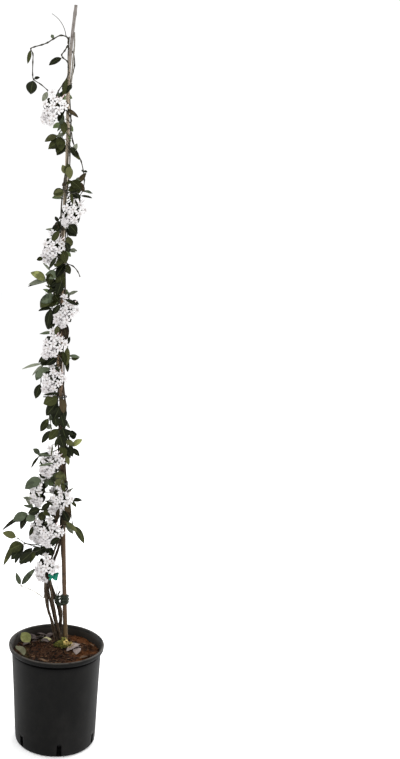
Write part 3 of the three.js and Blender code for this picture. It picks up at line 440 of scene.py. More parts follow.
def makePot():
    bm = startMesh()
    turnProfile(bm, [(r * mm, z * mm) for r, z in potSettings["profile"]], potSettings["segments"])
    bmesh.ops.recalc_face_normals(bm, faces=bm.faces)
    # a near-black skin for the faces under the rim: painted shade beneath the lip
    groove = makeMottledSkin("potRimShade", potSettings["paintedRimShade"], potSettings["colour"], 30.0, 0.6, 0.8, 0.02,
                             (0.2, 0.0005))
    pot = endMesh("potShell", bm, [makePotMaterial(), groove], "pot")
    cutter = bmesh.new()
    for i in range(potSettings["slotCount"]):
        out = heading(radians(potSettings["slotFirst"] + 360 * i / potSettings["slotCount"]))
        side = up.cross(out)
        for vert in bmesh.ops.create_cube(cutter, size=1)["verts"]:
            x, y, z = vert.co
            width = potSettings["slotWidth"] * (potSettings["slotTop"] if z > 0 else 1)
            vert.co = (out * (potSettings["slotReach"] + x * potSettings["slotDepth"]) + side * (y * width)
                       + up * (potSettings["slotFoot"] + (z + 0.5) * potSettings["slotHeight"]))
    tool = addObject("slotCutter", meshFrom("slotCutter", cutter))
    cut = pot.modifiers.new("slots", "BOOLEAN")
    cut.operation = "DIFFERENCE"
    cut.object = tool
    cut.solver = "EXACT"
    solved = pot.evaluated_get(bpy.context.evaluated_depsgraph_get())
    made = bpy.data.meshes.new_from_object(solved)
    pot.modifiers.clear()
    pot.data = made
    bpy.data.objects.remove(tool)
    # faces just under the rim, on the outside, take that skin as painted shade
    low, high = potSettings["rimShadeZ"]
    for face in made.polygons:
        spot = face.center
        face.material_index = int(low < spot.z < high and hypot(spot.x, spot.y) > potSettings["rimShadeReach"])


makePot()
print("pot made")

# --- soil
# heights and places in millimetres, the edge in metres
soilSettings = {
    "level": 241, "mound": 9, "spread": 34, "plant": (16, 42), "edge": 0.1128, "rings": 84, "segments": 220,
    # count, shortest, longest and flatness of the lumps
    "lumps": [(1500, 3.0, 12.0, 0.22), (2600, 0.9, 2.8, 0.6)], "fibres": 150, "seed": 31,
    "red": (0.040, 0.0165, 0.0075), "dark": (0.0065, 0.004, 0.0025), "pale": (0.125, 0.076, 0.042),
    "deep": (0.005, 0.003, 0.002), "orange": (0.098, 0.035, 0.0105), "moss": (0.036, 0.036, 0.009),
    "barks": [("barkRed", "red", "dark", 130.0), ("barkDark", "dark", "deep", 240.0),
              ("barkPale", "pale", "red", 180.0)],
}


def soilHeight(x, y):
    x, y = x / mm, y / mm
    fromPlant = (x - soilSettings["plant"][0]) ** 2 + (y - soilSettings["plant"][1]) ** 2
    mound = soilSettings["mound"] * exp(-fromPlant / (2 * soilSettings["spread"] ** 2))
    bumps = 1.6 * sin(x * 0.071 + 1.3) * cos(y * 0.063) + 1.1 * sin(x * 0.043 - y * 0.087 + 0.6)
    return (soilSettings["level"] + mound + bumps) * mm


def crumbHeight(x, y):
    place = Vector((x, y, 0.3))
    return (soilHeight(x, y) + 0.0022 * noise.noise(place * 60) + 0.0014 * noise.noise(place * 170)
            + 0.0008 * abs(noise.noise(place * 420)))


def makeBarkMaterial(name, colour, second, scale):
    material, tree = startMaterial(name, 0.92, 0.08)
    grains = use(tree, mottle, soilSettings[colour], soilSettings[second], scale, 0.52)
    place = objectPlace(tree)
    warm = times(tree, ramp(tree, axis(tree, place, "X"), 0.0, 0.06),
                 ramp(tree, cloud(tree, place, 26.0, 3.0), 0.45, 0.6))
    tinted = mix(tree, times(tree, warm, 0.75), grains["Colour"], soilSettings["orange"])
    green = times(tree, ramp(tree, cloud(tree, place, 17.0), 0.62, 0.7), 0.5)
    whole = mix(tree, green, tinted, soilSettings["moss"])
    return endMaterial(material, whole, (grains["Height"], 0.7, 0.0012))


# one rough lump with its own lengths along three turned directions
def addLump(bm, place, sizes, turn, material, rng):
    made = bmesh.ops.create_cube(bm, size=1)["verts"]
    vary = rng.random()
    for vert in made:
        vert.co = place + turn @ Vector(c * size * rng.uniform(0.6, 1.15) for c, size in zip(vert.co, sizes))
        vert[bm.verts.layers.float["vary"]] = vary
    for face in {f for vert in made for f in vert.link_faces}:
        face.material_index = material


def spotOnSoil(rng):
    reach = soilSettings["edge"] * 0.965 * sqrt(rng.random())
    angle = rng.uniform(0, 2 * pi)
    return reach * cos(angle), reach * sin(angle)


def makeSoil():
    rng = random.Random(soilSettings["seed"])
    edge = soilSettings["edge"]
    bm = startMesh()
    turnProfile(bm, [(edge * i / soilSettings["rings"], 0) for i in range(soilSettings["rings"] + 1)],
                soilSettings["segments"])
    for vert in bm.verts:
        outermost = hypot(vert.co.x, vert.co.y) > edge * 0.999
        vert.co.z = crumbHeight(vert.co.x, vert.co.y) - (0.004 if outermost else 0)
    for count, low, high, flat in soilSettings["lumps"]:
        for _ in range(count):
            x, y = spotOnSoil(rng)
            length = (low + (high - low) * rng.random() ** 2.2) * mm
            sizes = (length, length * rng.uniform(0.3, 0.65),
                     max(length * flat * rng.uniform(0.6, 1.2), 0.6 * mm))
            turn = (Quaternion((0, 0, 1), rng.uniform(0, 6.3)) @ Quaternion((1, 0, 0), rng.gauss(0, 0.35))
                    @ Quaternion((0, 1, 0), rng.gauss(0, 0.28)))
            kind = rng.choices((0, 1, 2), (0.47, 0.36, 0.17))[0]
            addLump(bm, Vector((x, y, crumbHeight(x, y) + sizes[2] * 0.3)), sizes, turn, kind, rng)
    for _ in range(soilSettings["fibres"]):
        x, y = spotOnSoil(rng)
        way, points = rng.uniform(0, 6.3), []
        for _ in range(5):
            points.append(Vector((x, y, crumbHeight(x, y) + rng.uniform(0.4, 2.2) * mm)))
            way += rng.gauss(0, 0.5)
            x, y = x + 4 * mm * cos(way), y + 4 * mm * sin(way)
            if hypot(x, y) > edge * 0.97:
                break
        if len(points) > 2:
            sweepTube(bm, smoothPath(points, 3), (0.22, 0.22), 4, 2)
    barks = [makeBarkMaterial(*row) for row in soilSettings["barks"]]
    endMesh("soilBed", bm, barks, "soil", smooth=False)


makeSoil()
print("soil made")

# --- cane and stems, in millimetres
caneSettings = {
    "sides": 22, "baseRadius": 6.0, "topRadius": 3.6, "footZ": 60, "topZ": 1861.6, "steps": 300,
    "points": [(28, 52, 60), (24, 44, 250), (20.5, 38, 340), (15.6, 30, 470), (12.6, 22, 580), (6, 10, 760),
               (-2.7, 0, 1033), (-1.8, 0, 1320), (4.6, 0, 1480), (6.2, 0, 1570), (3.8, 0, 1650),
               (7.2, 0, 1735), (13, 0, 1800), (19.8, 0, 1861.6)],
    "nodes": {188: 0.5, 420: 0.5, 655: 0.6, 880: 0.8, 1112: 0.6, 1338: 0.6, 1560: 0.5, 1738: 0.5, 1842: 0.8},
    # from the soil up: a colour and the heights in metres between which it takes over
    "colours": [((0.13, 0.088, 0.042), 0, 0.1), ((0.084, 0.050, 0.028), 0.27, 0.33),
                ((0.25, 0.165, 0.105), 0.72, 0.98), ((0.37, 0.305, 0.23), 1.15, 1.45),
                ((0.205, 0.186, 0.172), 1.68, 1.78)],
    "groove": (0.04, 0.027, 0.018),
}


def caneAt(z):
    rows = caneSettings["points"]
    i = 0
    while i < len(rows) - 2 and rows[i + 1][2] < z:
        i += 1
    low, high = Vector(rows[i]), Vector(rows[i + 1])
    return low.lerp(high, (z - low.z) / (high.z - low.z))


def makeCaneMaterial():
    material, tree = startMaterial("caneSkin", 0.6, 0.14)
    height = axis(tree, objectPlace(tree), "Z")
    whole = caneSettings["colours"][0][0]
    for colour, low, high in caneSettings["colours"][1:]:
        whole = mix(tree, ramp(tree, height, low, high), whole, colour)
    groove = caneSettings["groove"]
    spotted = use(tree, mottle, whole, groove, 90.0, 0.62)
    grained = use(tree, fibre, spotted["Colour"], groove, 700.0, 0.45)
    return endMaterial(material, grained["Colour"], (grained["Height"], 0.3, 0.0005))


def makeCane():
    bm = startMesh()
    foot, rise = caneSettings["footZ"], caneSettings["topZ"] - caneSettings["footZ"]

    def radiusAt(share):
        z = foot + rise * share
        swell = sum(size * exp(-((z - at) / 5.0) ** 2) for at, size in caneSettings["nodes"].items())
        plain = caneSettings["baseRadius"] + (caneSettings["topRadius"] - caneSettings["baseRadius"]) * share
        return (plain + 0.3 + swell + 0.2 * noise.noise(Vector((0, 3, z * 0.02)))) * mm

    steps = caneSettings["steps"]
    centres = [caneAt(foot + rise * i / steps) * mm for i in range(steps + 1)]
    sweepTube(bm, centres, radiusAt, caneSettings["sides"])
    endMesh("caneStick", bm, [makeCaneMaterial()], "cane")


makeCane()

stemSettings = {
    "names": ["back", "left", "outer", "front"], "sides": 10, "solidSides": 4, "jointEvery": 0.046,
    "jointHalf": 0.0035, "seed": 77, "lichen": (0.10, 0.086, 0.066),
    # where they are thickest, above the low tie: height, half width and share
    "stout": (0.43, 0.08, 0.16),
    # bark, its cracks, and the bark higher up
    "skins": {"stemBark": ((0.048, 0.031, 0.018), (0.010, 0.0065, 0.0045), (0.066, 0.062, 0.046)),
              "paleBark": ((0.26, 0.18, 0.11), (0.12, 0.08, 0.045), (0.26, 0.18, 0.11)),
              "greyBark": ((0.20, 0.185, 0.16), (0.11, 0.10, 0.085), (0.20, 0.185, 0.16))},
}


def makeBarkSkin(name, bark, cracks, young):
    material, tree = startMaterial(name, 0.85, 0.1)
    blotched = use(tree, mottle, bark, stemSettings["lichen"], 75.0, 0.58)
    cracked = use(tree, fibre, blotched["Colour"], cracks, 420.0, 0.9)
    high = times(tree, ramp(tree, axis(tree, objectPlace(tree), "Z"), 0.9, 1.5), 0.75)
    return endMaterial(material, mix(tree, high, cracked["Colour"], young), (cracked["Height"], 0.9, 0.0012))


barkSkins = [makeBarkSkin(name, *colours) for name, colours in stemSettings["skins"].items()]


# centres and radii of the rings that a packed stem is made of, from the bottom up
def ringCentres(node, sides):
    corners = packedCorners(node)
    rings = [corners[i:i + sides] for i in range(0, len(corners), sides)]
    return [(sum(ring, Vector()) / len(ring), max((p - ring[0]).length for p in ring) / 2) for ring in rings]


stemPaths = {}


def makeStem(name, rng):
    rings = ringCentres("stem_" + name, stemSettings["solidSides"])
    path = smoothPath([centre for centre, _ in rings], 8)
    stemPaths[name] = path
    low, high = rings[0][1], rings[-1][1]
    length = pathLength(path)
    joints = [rng.uniform(0.7, 1.3) * stemSettings["jointEvery"]]
    while joints[-1] < length:
        joints.append(joints[-1] + rng.uniform(0.7, 1.3) * stemSettings["jointEvery"])
    phase = rng.uniform(0, 50)
    middle, spread, more = stemSettings["stout"]

    def radiusAt(share):
        at = share * length
        swell = sum(0.22 * exp(-((at - joint) / stemSettings["jointHalf"]) ** 2) for joint in joints)
        spot = path[min(int(share * (len(path) - 1)), len(path) - 1)]
        stout = 1 + more * exp(-((spot.z - middle) / spread) ** 2)
        knobs = (0.16 * stout - 0.06) * noise.noise(Vector((phase, 0, at * 60)))
        return (low + (high - low) * share) * stout * (0.97 + swell + knobs)

    bm = startMesh()
    sweepTube(bm, path, radiusAt, stemSettings["sides"])
    for joint in joints:
        i = min(int(joint / length * (len(path) - 2)), len(path) - 2)
        ahead = (path[i + 1] - path[i]).normalized()
        out = ahead.orthogonal().normalized()
        out.rotate(Quaternion(ahead, rng.uniform(0, 6.3)))
        foot = path[i] + out * radiusAt(joint / length) * 0.5
        end = foot + (out + ahead * 0.5) * rng.uniform(2.0, 4.0) * mm
        sweepTube(bm, [foot, (foot + end) / 2, end], (0.9, 0.6), 6)
    endMesh("stem" + name + "Wood", bm, barkSkins[:1], "stem_" + name)


stemDraws = random.Random(stemSettings["seed"])
for name in stemSettings["names"]:
    makeStem(name, stemDraws)

# thinner stems: radius, then rows of height, distance from the cane and degrees round it, and the bark
bareStems = [
    (2.6, [(236, 12, 150), (290, 21, 160), (340, 30, 166), (390, 36, 168), (440, 42, 168), (482, 38, 165)]),
    (2.7, [(236, 20, 178), (270, 26, 180), (304, 33, 181), (318, 38, 180), (340, 43, 177), (367, 44.5, 175),
           (397, 47, 173), (440, 49, 172), (478, 44, 172)]),
    (2.8, [(236, 14, 190), (265, 16, 188), (292, 16.6, 186), (305, 14.7, 186), (322, 12.4, 187),
           (337, 11.8, 188), (347, 12.3, 188), (358, 15, 187), (372, 19.5, 184), (394, 27.8, 179),
           (415, 34, 175), (445, 41, 172)]),
    (2.5, [(250, 11, 215), (290, 13, 205), (320, 10, 205), (345, 10, 200), (365, 16, 192), (385, 17, 188),
           (395, 11, 185)]),
    (2.3, [(470, 29, 178), (500, 17.5, 182), (515, 13, 184), (535, 7.5, 188), (556, 4, 200), (580, 3, 220)]),
    (2.0, [(610, 5, 230), (575, 6.2, 205), (540, 6.2, 200), (505, 6, 195), (475, 3.5, 170), (455, 0.5, 120)]),
    (1.7, [(236, 24, 202), (300, 37, 196), (360, 44, 183), (410, 41, 177), (455, 45, 175)]),
    (2.6, [(1060, 9, 262), (1040, 13, 246), (1015, 13.5, 240), (990, 12, 246), (968, 8, 262)], 1),
    (2.3, [(1672, 4, 10), (1695, 7, -10), (1735, 8, -12), (1770, 7.5, -8), (1800, 4.5, 0)], 2),
]


def makeBareStems():
    rng = random.Random(stemSettings["seed"] + 1)
    bm = startMesh()
    for thick, rows, *bark in bareStems:
        points = [caneAt(z) * mm + heading(radians(turn)) * out * mm for z, out, turn in rows]
        phase = rng.uniform(0, 50)

        def radiusAt(share):
            return thick * (1.1 - 0.35 * share + 0.16 * noise.noise(Vector((phase, 0, share * 26)))) * mm

        sweepTube(bm, smoothPath(points, 7), radiusAt, 9, *bark)
    endMesh("bareStems", bm, barkSkins)


makeBareStems()
print("cane and stems made")

# --- leaves and shoots
leafSettings = {
    "rows": 12, "cols": 8, "fullness": 1.07, "thickness": 0.5 * mm, "arch": 0.08, "fold": 0.13,
    "wave": 0.35 * mm, "stalkShare": 0.12, "stalkMost": 7 * mm, "tipReach": 1.6 * mm,
    "outline": [(0, 0.1), (0.05, 0.34), (0.13, 0.62), (0.25, 0.87), (0.4, 1.0), (0.55, 0.98), (0.7, 0.82),
                (0.82, 0.58), (0.91, 0.33), (0.97, 0.14), (1, 0.03)],
    "tones": {"leafDark": (0.0042, 0.0052, 0.0017), "leafOlive": (0.0165, 0.0185, 0.0050),
              "leafLime": (0.155, 0.165, 0.058), "leafBronze": (0.030, 0.021, 0.0105),
              "leafGrey": (0.044, 0.054, 0.034), "leafMoss": (0.048, 0.050, 0.0195),
              "leafPale": (0.115, 0.124, 0.092), "leafBrown": (0.0115, 0.0066, 0.0034)},
    "rib": (0.085, 0.10, 0.04), "under": (0.045, 0.06, 0.026),
    # an axis and its joints
    "stalk": ((0.036, 0.034, 0.024), (0.02, 0.018, 0.011)),
    "dryTwig": ((0.46, 0.44, 0.40), (0.25, 0.23, 0.20)),
}
# turn about the face, turn about the width, and length
leafBends = [
    (0, 0, 1), (10, 0, 1), (-10, 0, 1), (0, 12, 1), (0, -12, 1), (18, 10, 1), (-18, 10, 1), (18, -12, 1),
    (-18, -12, 1), (0, 26, 0.95), (0, -26, 0.95), (32, 0, 0.9), (-32, 0, 0.9), (28, 24, 0.9), (-28, 24, 0.9),
    (28, -24, 0.9), (-28, -24, 0.9), (0, 42, 0.85), (0, -42, 0.85), (50, 10, 0.85), (-50, 10, 0.85),
    (40, 36, 0.8), (-40, 36, 0.8), (0, 60, 0.8), (0, -60, 0.8)]


def ownShade(tree):
    return put(tree, "Attribute", attribute_name="vary")["Fac"]


def makeLeafMaterial(name, colour, roughness=0.4, rib=0.45):
    material, tree = startMaterial(name, roughness, 0.04)
    light = [min(c * 2.0 + 0.003, 1) for c in colour]
    shade = mix(tree, ownShade(tree), [c * 0.5 for c in colour], light)
    mottled = use(tree, mottle, shade, light, 55.0, 0.56)
    veined = use(tree, veins, 8.0)
    whole = mottled["Colour"]
    for line, share in (("Rib", rib), ("Vein", rib * 0.3)):
        whole = mix(tree, times(tree, veined[line], share), whole, leafSettings["rib"])
    return endMaterial(material, whole, (veined["Height"], 0.5, 0.0006),
                       Roughness=doMath(tree, "MULTIPLY_ADD", mottled["Mask"], 0.12, roughness))


def makeStalkMaterial(name, colour, joint):
    material, tree = startMaterial(name, 0.6, 0.12)
    grained = use(tree, fibre, colour, joint, 500.0, 0.6)
    return endMaterial(material, grained["Colour"], (grained["Height"], 0.4, 0.0005))


leafMaterials = [makeLeafMaterial(name, colour) for name, colour in leafSettings["tones"].items()]
leafMaterials += [makeLeafMaterial("leafUnder", leafSettings["under"], 0.6, 0.6),
                  makeStalkMaterial("shootSkin", *leafSettings["stalk"]),
                  makeStalkMaterial("dryTwigSkin", *leafSettings["dryTwig"])]
underSlot, stalkSlot = 8, 9


# a thin closed sheet over a grid of places, with a face normal for each
def addSheet(bm, grid, normals, thickness, topSlot, lowSlot, vary=0.5):
    uv = bm.loops.layers.uv["bladeUv"]
    rows, cols = len(grid) - 1, len(grid[0]) - 1
    top, low = [[[addVert(bm, p + n * (sign * thickness / 2), vary) for p, n in zip(line, faces)]
                 for line, faces in zip(grid, normals)] for sign in (1, -1)]

    def addFace(corners, slot):
        face = bm.faces.new([side[i][j] for side, (i, j) in corners])
        face.material_index = slot
        for loop, (_, (i, j)) in zip(face.loops, corners):
            loop[uv].uv = (j / cols, i / rows)

    for i in range(rows):
        for j in range(cols):
            spots = [(i, j), (i + 1, j), (i + 1, j + 1), (i, j + 1)]
            addFace([(top, spot) for spot in spots], topSlot)
            addFace([(low, spot) for spot in spots[::-1]], lowSlot)
    border = ([(i, 0) for i in range(rows)] + [(rows, j) for j in range(cols)]
              + [(i, cols) for i in range(rows, 0, -1)] + [(0, j) for j in range(cols, 0, -1)])
    for a, b in zip(border, border[1:] + border[:1]):
        addFace([(top, b), (top, a), (low, a), (low, b)], topSlot)


def addLeaf(bm, base, tip, face, width, tone, rng, curl=0.0, under=underSlot, stalk=stalkSlot):
    rows, cols = leafSettings["rows"], leafSettings["cols"]
    along = tip - base
    length = along.length
    along.normalize()
    normal = (face - along * face.dot(along)).normalized()
    across = along.cross(normal)
    start = min(leafSettings["stalkShare"], leafSettings["stalkMost"] / length)
    twist, phase = rng.uniform(-0.3, 0.3), rng.uniform(0, 6.3)
    grid, normals = [], []
    for i in range(rows + 1):
        t = i / rows
        at = start + (1 - start) * t
        half = width / 2 * leafSettings["fullness"] * blendRows(leafSettings["outline"], t)
        turn = Quaternion(along, twist * (t - 0.4))
        lean, out = turn @ normal, turn @ across
        rise = length * (leafSettings["arch"] * 4 * at * (1 - at) - curl * t * t)
        line, faces = [], []
        for j in range(cols + 1):
            s = 2 * j / cols - 1
            lift = leafSettings["fold"] * abs(s) * half * (1 - 0.4 * t)
            lift += leafSettings["wave"] * s * s * sin(9 * t + phase + (2.2 if s > 0 else 0))
            line.append(base + along * (at * length) + normal * rise + out * (s * half) + lean * lift)
            faces.append((lean - out * (0.25 * s)).normalized())
        grid.append(line)
        normals.append(faces)
    addSheet(bm, grid, normals, leafSettings["thickness"], tone, under, rng.random())
    ends = [base, (base + grid[0][cols // 2]) / 2 + normal * 0.3 * mm, grid[1][cols // 2]]
    sweepTube(bm, ends, (0.85, 0.6), 6, stalk)


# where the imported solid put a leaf's tip, and how much smaller the leaf is there
def packedTip(tree, base, tip, face):
    for turn, dip, size in leafBends:
        along = (tip - base) * size
        forward = along.normalized()
        normal = (face - forward * face.dot(forward)).normalized()
        spin = Quaternion(normal, radians(turn))
        across = (spin @ forward).cross(normal)
        corner, _, gap = tree.find(base + Quaternion(across, radians(dip)) @ (spin @ along))
        if gap < leafSettings["tipReach"]:
            return corner, size
    return None, 1


# name, path points, then leaves as (path point, tip x, y, z, width, tone), and the whip, all in millimetres
shootRows = [
    ("top_left", [(2, -4, 1786), (-14, -10, 1791), (-32, -14, 1782), (-46, -16, 1773), (-59, -16, 1768),
     (-77, -15, 1763), (-85, -15, 1759), (-80, -15, 1747), (-80, -14, 1729), (-80, -13, 1699),
     (-78, -12, 1690), (-60, -12, 1678), (-43, -14, 1664)], [(2, -37, -13, 1792, 8, 4),
     (6, -92, -17, 1724, 9, 1), (10, -84, -12, 1655, 26, 0), (10, -63, -10, 1694, 9, 0),
     (12, -56, -16, 1637, 12, 6)], [(-3, 6, 1794), (-4, 7, 1800), (-10, 8, 1816), (-22, 8, 1832),
     (-37, 7, 1843)]),
    ("top_middle", [(0, -9, 1765), (-5, -12, 1756), (-12, -14, 1746), (-9, -14, 1740), (2, -12, 1731),
     (4, -11, 1719), (4, -11, 1701), (-7, -12, 1681), (-18, -14, 1664), (-25, -16, 1650)],
     [(3, -42, -18, 1721, 16, 0), (6, -6, -14, 1644, 11, 1), (8, -20, -12, 1641, 9, 4)]),
    ("top_right", [(15, 6, 1755), (19, 7, 1725), (16, 7, 1710), (12, 6, 1689)], [(3, 2, 8, 1667, 14, 0)]),
    ("upper_a", [(-2, -10, 1623), (-8, -14, 1615), (-6, -15, 1599)], [(0, 30, -14, 1603, 11, 3),
     (1, -12, -20, 1583, 13, 4), (2, -3, -19, 1562, 16, 1)]),
    ("upper_b", [(-8, -11, 1574), (-16, -15, 1562), (-8, -14, 1543)], [(1, -49, -20, 1545, 16, 5),
     (1, -9, -24, 1524, 23, 1), (2, -41, -12, 1528, 17, 5), (2, -20, -18, 1517, 15, 1)]),
    ("upper_c", [(16, -6, 1525), (21, -6, 1520)], [(1, 29, -8, 1543, 13, 6), (1, 35, -8, 1504, 11, 1)]),
    ("upper_d", [(1, -11, 1432), (3, -12, 1449), (5, -14, 1468)], [(2, -6, -16, 1492, 14, 5),
     (2, 13, -18, 1494, 18, 1), (1, 17, -18, 1449, 14, 1), (1, -6, -14, 1442, 8, 3),
     (0, -27, -12, 1422, 21, 1)]),
    ("arc_right", [(18, 3, 1549), (31, 1, 1519), (39, -1, 1502), (45, -3, 1478), (48, -5, 1457),
     (44, -8, 1431), (37, -10, 1419)], [(3, 40, -8, 1478, 7, 0), (3, 55, -4, 1476, 7, 0),
     (4, 26, -10, 1458, 11, 4), (5, 8, -20, 1431, 27, 1), (5, 69, -6, 1425, 8, 4), (6, 68, -12, 1414, 7, 0),
     (6, 7, -16, 1412, 14, 0)]),
    ("mid_a", [(-9, -11, 1367), (-15, -15, 1356), (-18, -15, 1336)], [(1, -22, -18, 1369, 9, 0),
     (1, -22, -10, 1328, 15, 3), (2, -44, -15, 1338, 5, 6), (2, -31, -18, 1312, 10, 0)]),
    ("mid_b", [(6, -10, 1336), (11, -11, 1313), (15, -11, 1291)], [(0, 34, -16, 1329, 30, 0),
     (2, 10, -16, 1322, 20, 5), (2, 34, -10, 1286, 8, 6)]),
    ("mid_c", [(3, -10, 1272), (8, -12, 1257), (24, -14, 1250), (36, -14, 1237), (42, -14, 1224)],
     [(0, -14, -18, 1245, 22, 0), (1, -16, -22, 1222, 21, 0)]),
    ("mid_d", [(-13, -11, 1247), (-29, -15, 1235), (-38, -17, 1213)], [(0, 0, -16, 1190, 24, 1),
     (1, -50, -15, 1257, 6, 6), (1, -35, -24, 1202, 17, 1), (2, -79, -26, 1233, 23, 2),
     (2, -85, -17, 1198, 10, 0)]),
    ("mid_e", [(-14, -11, 1188), (-22, -15, 1181), (-25, -14, 1151)], [(0, -43, -16, 1201, 8, 1),
     (1, -54, -22, 1147, 26, 1), (1, -9, -22, 1163, 22, 1), (2, -59, -14, 1138, 9, 0),
     (2, -36, -15, 1094, 20, 0)]),
    ("mid_f", [(12, -6, 1177), (19, -8, 1164)], [(0, 38, -12, 1189, 9, 6), (1, 41, -12, 1156, 13, 0),
     (1, 28, -16, 1145, 11, 0)]),
    ("mid_g", [(-7, -10, 1107), (-22, -12, 1087)], [(0, -17, -17, 1075, 13, 5), (1, -54, -13, 1081, 7, 6)]),
    ("mid_h", [(9, -7, 1114), (15, -8, 1087), (15, -7, 1054), (15, -9, 1027)], [(0, 11, -14, 1066, 18, 7),
     (2, 20, -9, 1076, 7, 0), (2, 14, -13, 1002, 15, 5), (3, 46, -9, 1024, 9, 4), (3, 16, -8, 986, 11, 0)]),
    ("mid_i", [(-21, -11, 1020), (-40, -13, 1008), (-49, -14, 996), (-50, -11, 960)],
     [(0, -52, -21, 1006, 23, 0), (1, -98, -12, 992, 8, 6), (1, -72, -9, 976, 7, 6),
     (2, -67, -16, 968, 16, 4), (3, -63, -11, 918, 18, 0)]),
    ("low_a", [(-27, -16, 919), (-32, -17, 896), (-27, -16, 873), (-22, -11, 841)],
     [(1, -26, -15, 884, 17, 1), (2, -50, -7, 833, 17, 1), (3, -46, -5, 803, 14, 0),
     (3, -34, -9, 851, 14, 6)]),
    ("low_b", [(-11, -20, 884), (4, -21, 874)], [(0, -10, -18, 847, 21, 0), (1, 6, -21, 846, 20, 0),
     (1, 24, -13, 844, 8, 6)]),
    ("low_c", [(22, -4, 820), (24, -1, 806), (29, 0, 792)], [(0, 42, -4, 828, 24, 0),
     (2, 56, -3, 814, 16, 2), (2, 50, -2, 770, 12, 0), (1, 32, -4, 768, 13, 0)]),
    ("low_d", [(-15, -2, 781), (-31, -5, 776), (-49, -5, 772)], [(1, -52, -6, 748, 7, 4),
     (0, -54, -2, 759, 8, 4), (2, -68, -6, 788, 14, 4), (2, -72, -3, 737, 7, 0)]),
    ("low_e", [(-1, -1, 736), (-14, -2, 722), (-31, -3, 715), (-57, -3, 712)], [(0, 3, -6, 694, 26, 5),
     (3, -87, -2, 689, 13, 4), (3, -76, 1, 661, 10, 0), (2, -34, 3, 683, 13, 4)]),
    ("low_right", [(23, 10, 675), (28, 9, 651), (31, 11, 621), (36, 13, 586)], [(1, 60, 6, 652, 11, 0),
     (1, 45, 4, 634, 9, 1), (2, 21, 9, 587, 13, 5), (3, 67, 13, 534, 18, 1)]),
    ("low_left", [(-17, 13, 626), (-43, 16, 621), (-64, 17, 623), (-77, 18, 614)], [(2, -88, 13, 655, 9, 6),
     (3, -118, 14, 590, 23, 4), (3, -98, 18, 567, 18, 0), (3, -148, 19, 562, 11, 0),
     (1, -43, 13, 590, 20, 4)]),
    ("spray_left", [(-34, 22, 528), (-42, 28, 518), (-63, 26, 520), (-85, 24, 528), (-106, 22, 543)],
     [(4, -145, 20, 557, 20, 5), (3, -129, 20, 500, 24, 1), (4, -138, 28, 468, 13, 5),
     (3, -113, 32, 469, 14, 0), (2, -98, 24, 469, 24, 0), (1, -74, 30, 469, 8, 0), (1, -16, 21, 505, 21, 0),
     (2, -52, 20, 495, 20, 0)]),
    ("inner_left", [(-17, 19, 599), (-31, 18, 596)], [(0, 0, 16, 573, 21, 0), (1, -52, 24, 585, 18, 1),
     (1, -29, 26, 559, 20, 6), (0, -7, 11, 629, 18, 0)]),
    ("twig_left", [(-35, 30, 378), (-52, 27, 390), (-72, 25, 402), (-96, 24, 411)],
     [(3, -109, 23, 448, 12, 4), (3, -58, 14, 464, 15, 4)]),
]
# name, heights of the lowest and the highest pair of leaves, seed, and how far aside
backShoots = [("back_top", 1530, 1650, 11, -12), ("back_high", 1285, 1410, 12, 0),
              ("back_middle", 1050, 1175, 13, -22), ("back_low", 560, 735, 14, 0)]
shootSettings = {"sides": 8, "base": 1.5 * mm, "tip": 1.0 * mm, "joint": 0.75, "seed": 5, "stream": 500,
                 "footReach": 90 * mm}


def backShoot(name, low, high, seed, aside):
    draw = randomStream(seed)
    path, leaves = [], []
    for i in range(3):
        node = caneAt(low + (high - low) * i / 2) + Vector((aside + 8 * (draw() - 0.5), 20 + 6 * draw(), 0))
        path.append(node)
        for side in (-1, 1):
            turn = radians(90 + side * (24 + 34 * draw()))
            slope = (0.5 - 1.1 * draw()) * 0.9
            size = 0.8 + 0.4 * draw()
            reach = heading(turn, slope).normalized() * 42 * size
            leaves.append((i, *(node + reach), 18 * size, (0, 1, 0, 4)[(i + (side > 0)) % 4]))
    return name, path, leaves


stemTree = placeTree([place for path in stemPaths.values() for place in path])


# the point of a main stem that lies nearest to a solid, and the solid's own point there
def shootFoot(node, near):
    corners = [place for place in packedCorners(node) if (place - near).length <= shootSettings["footReach"]]
    corner = min(corners, key=lambda place: stemTree.find(place)[2])
    return [stemTree.find(corner)[0], corner]


def makeShoot(index, name, spots, leaves, whip=()):
    node = "shoot_" + name
    rng = random.Random(shootSettings["seed"] + index)
    draw = randomStream(shootSettings["stream"] + index)
    tree = placeTree(packedCorners(node))
    points = [spotAt(*spot) for spot in spots]
    path = smoothPath(shootFoot(node, points[0]) + points, 6)
    length = pathLength(path)
    shares = [min(range(len(path)), key=lambda i: (path[i] - p).length) / (len(path) - 1) for p in points]

    def radiusAt(share):
        swell = max(exp(-((share - at) * length / 0.0032) ** 2) for at in shares)
        plain = shootSettings["base"] + (shootSettings["tip"] - shootSettings["base"]) * share
        return plain * (1 + shootSettings["joint"] * swell)

    bm = startMesh()
    sweepTube(bm, path, radiusAt, shootSettings["sides"], stalkSlot + (name == "twig_left"))
    if whip:
        ends = points[:1] + [spotAt(*spot) for spot in whip]
        sweepTube(bm, smoothPath(ends, 5), (1.15, 0.55), 6, stalkSlot)
    for at, x, y, z, width, tone in leaves:
        face = Vector((0.7 * (draw() - 0.5), 0.6 if name.startswith("back") else -0.75, 0.65)).normalized()
        tip, size = packedTip(tree, points[at], spotAt(x, y, z), face)
        if tip:
            addLeaf(bm, points[at], tip, face, width * size * mm, tone, rng)
    endMesh("leafyShoot_" + name, bm, leafMaterials, node)


for index, row in enumerate(shootRows + [backShoot(*row) for row in backShoots]):
    makeShoot(index, *row)
print("shoots made")

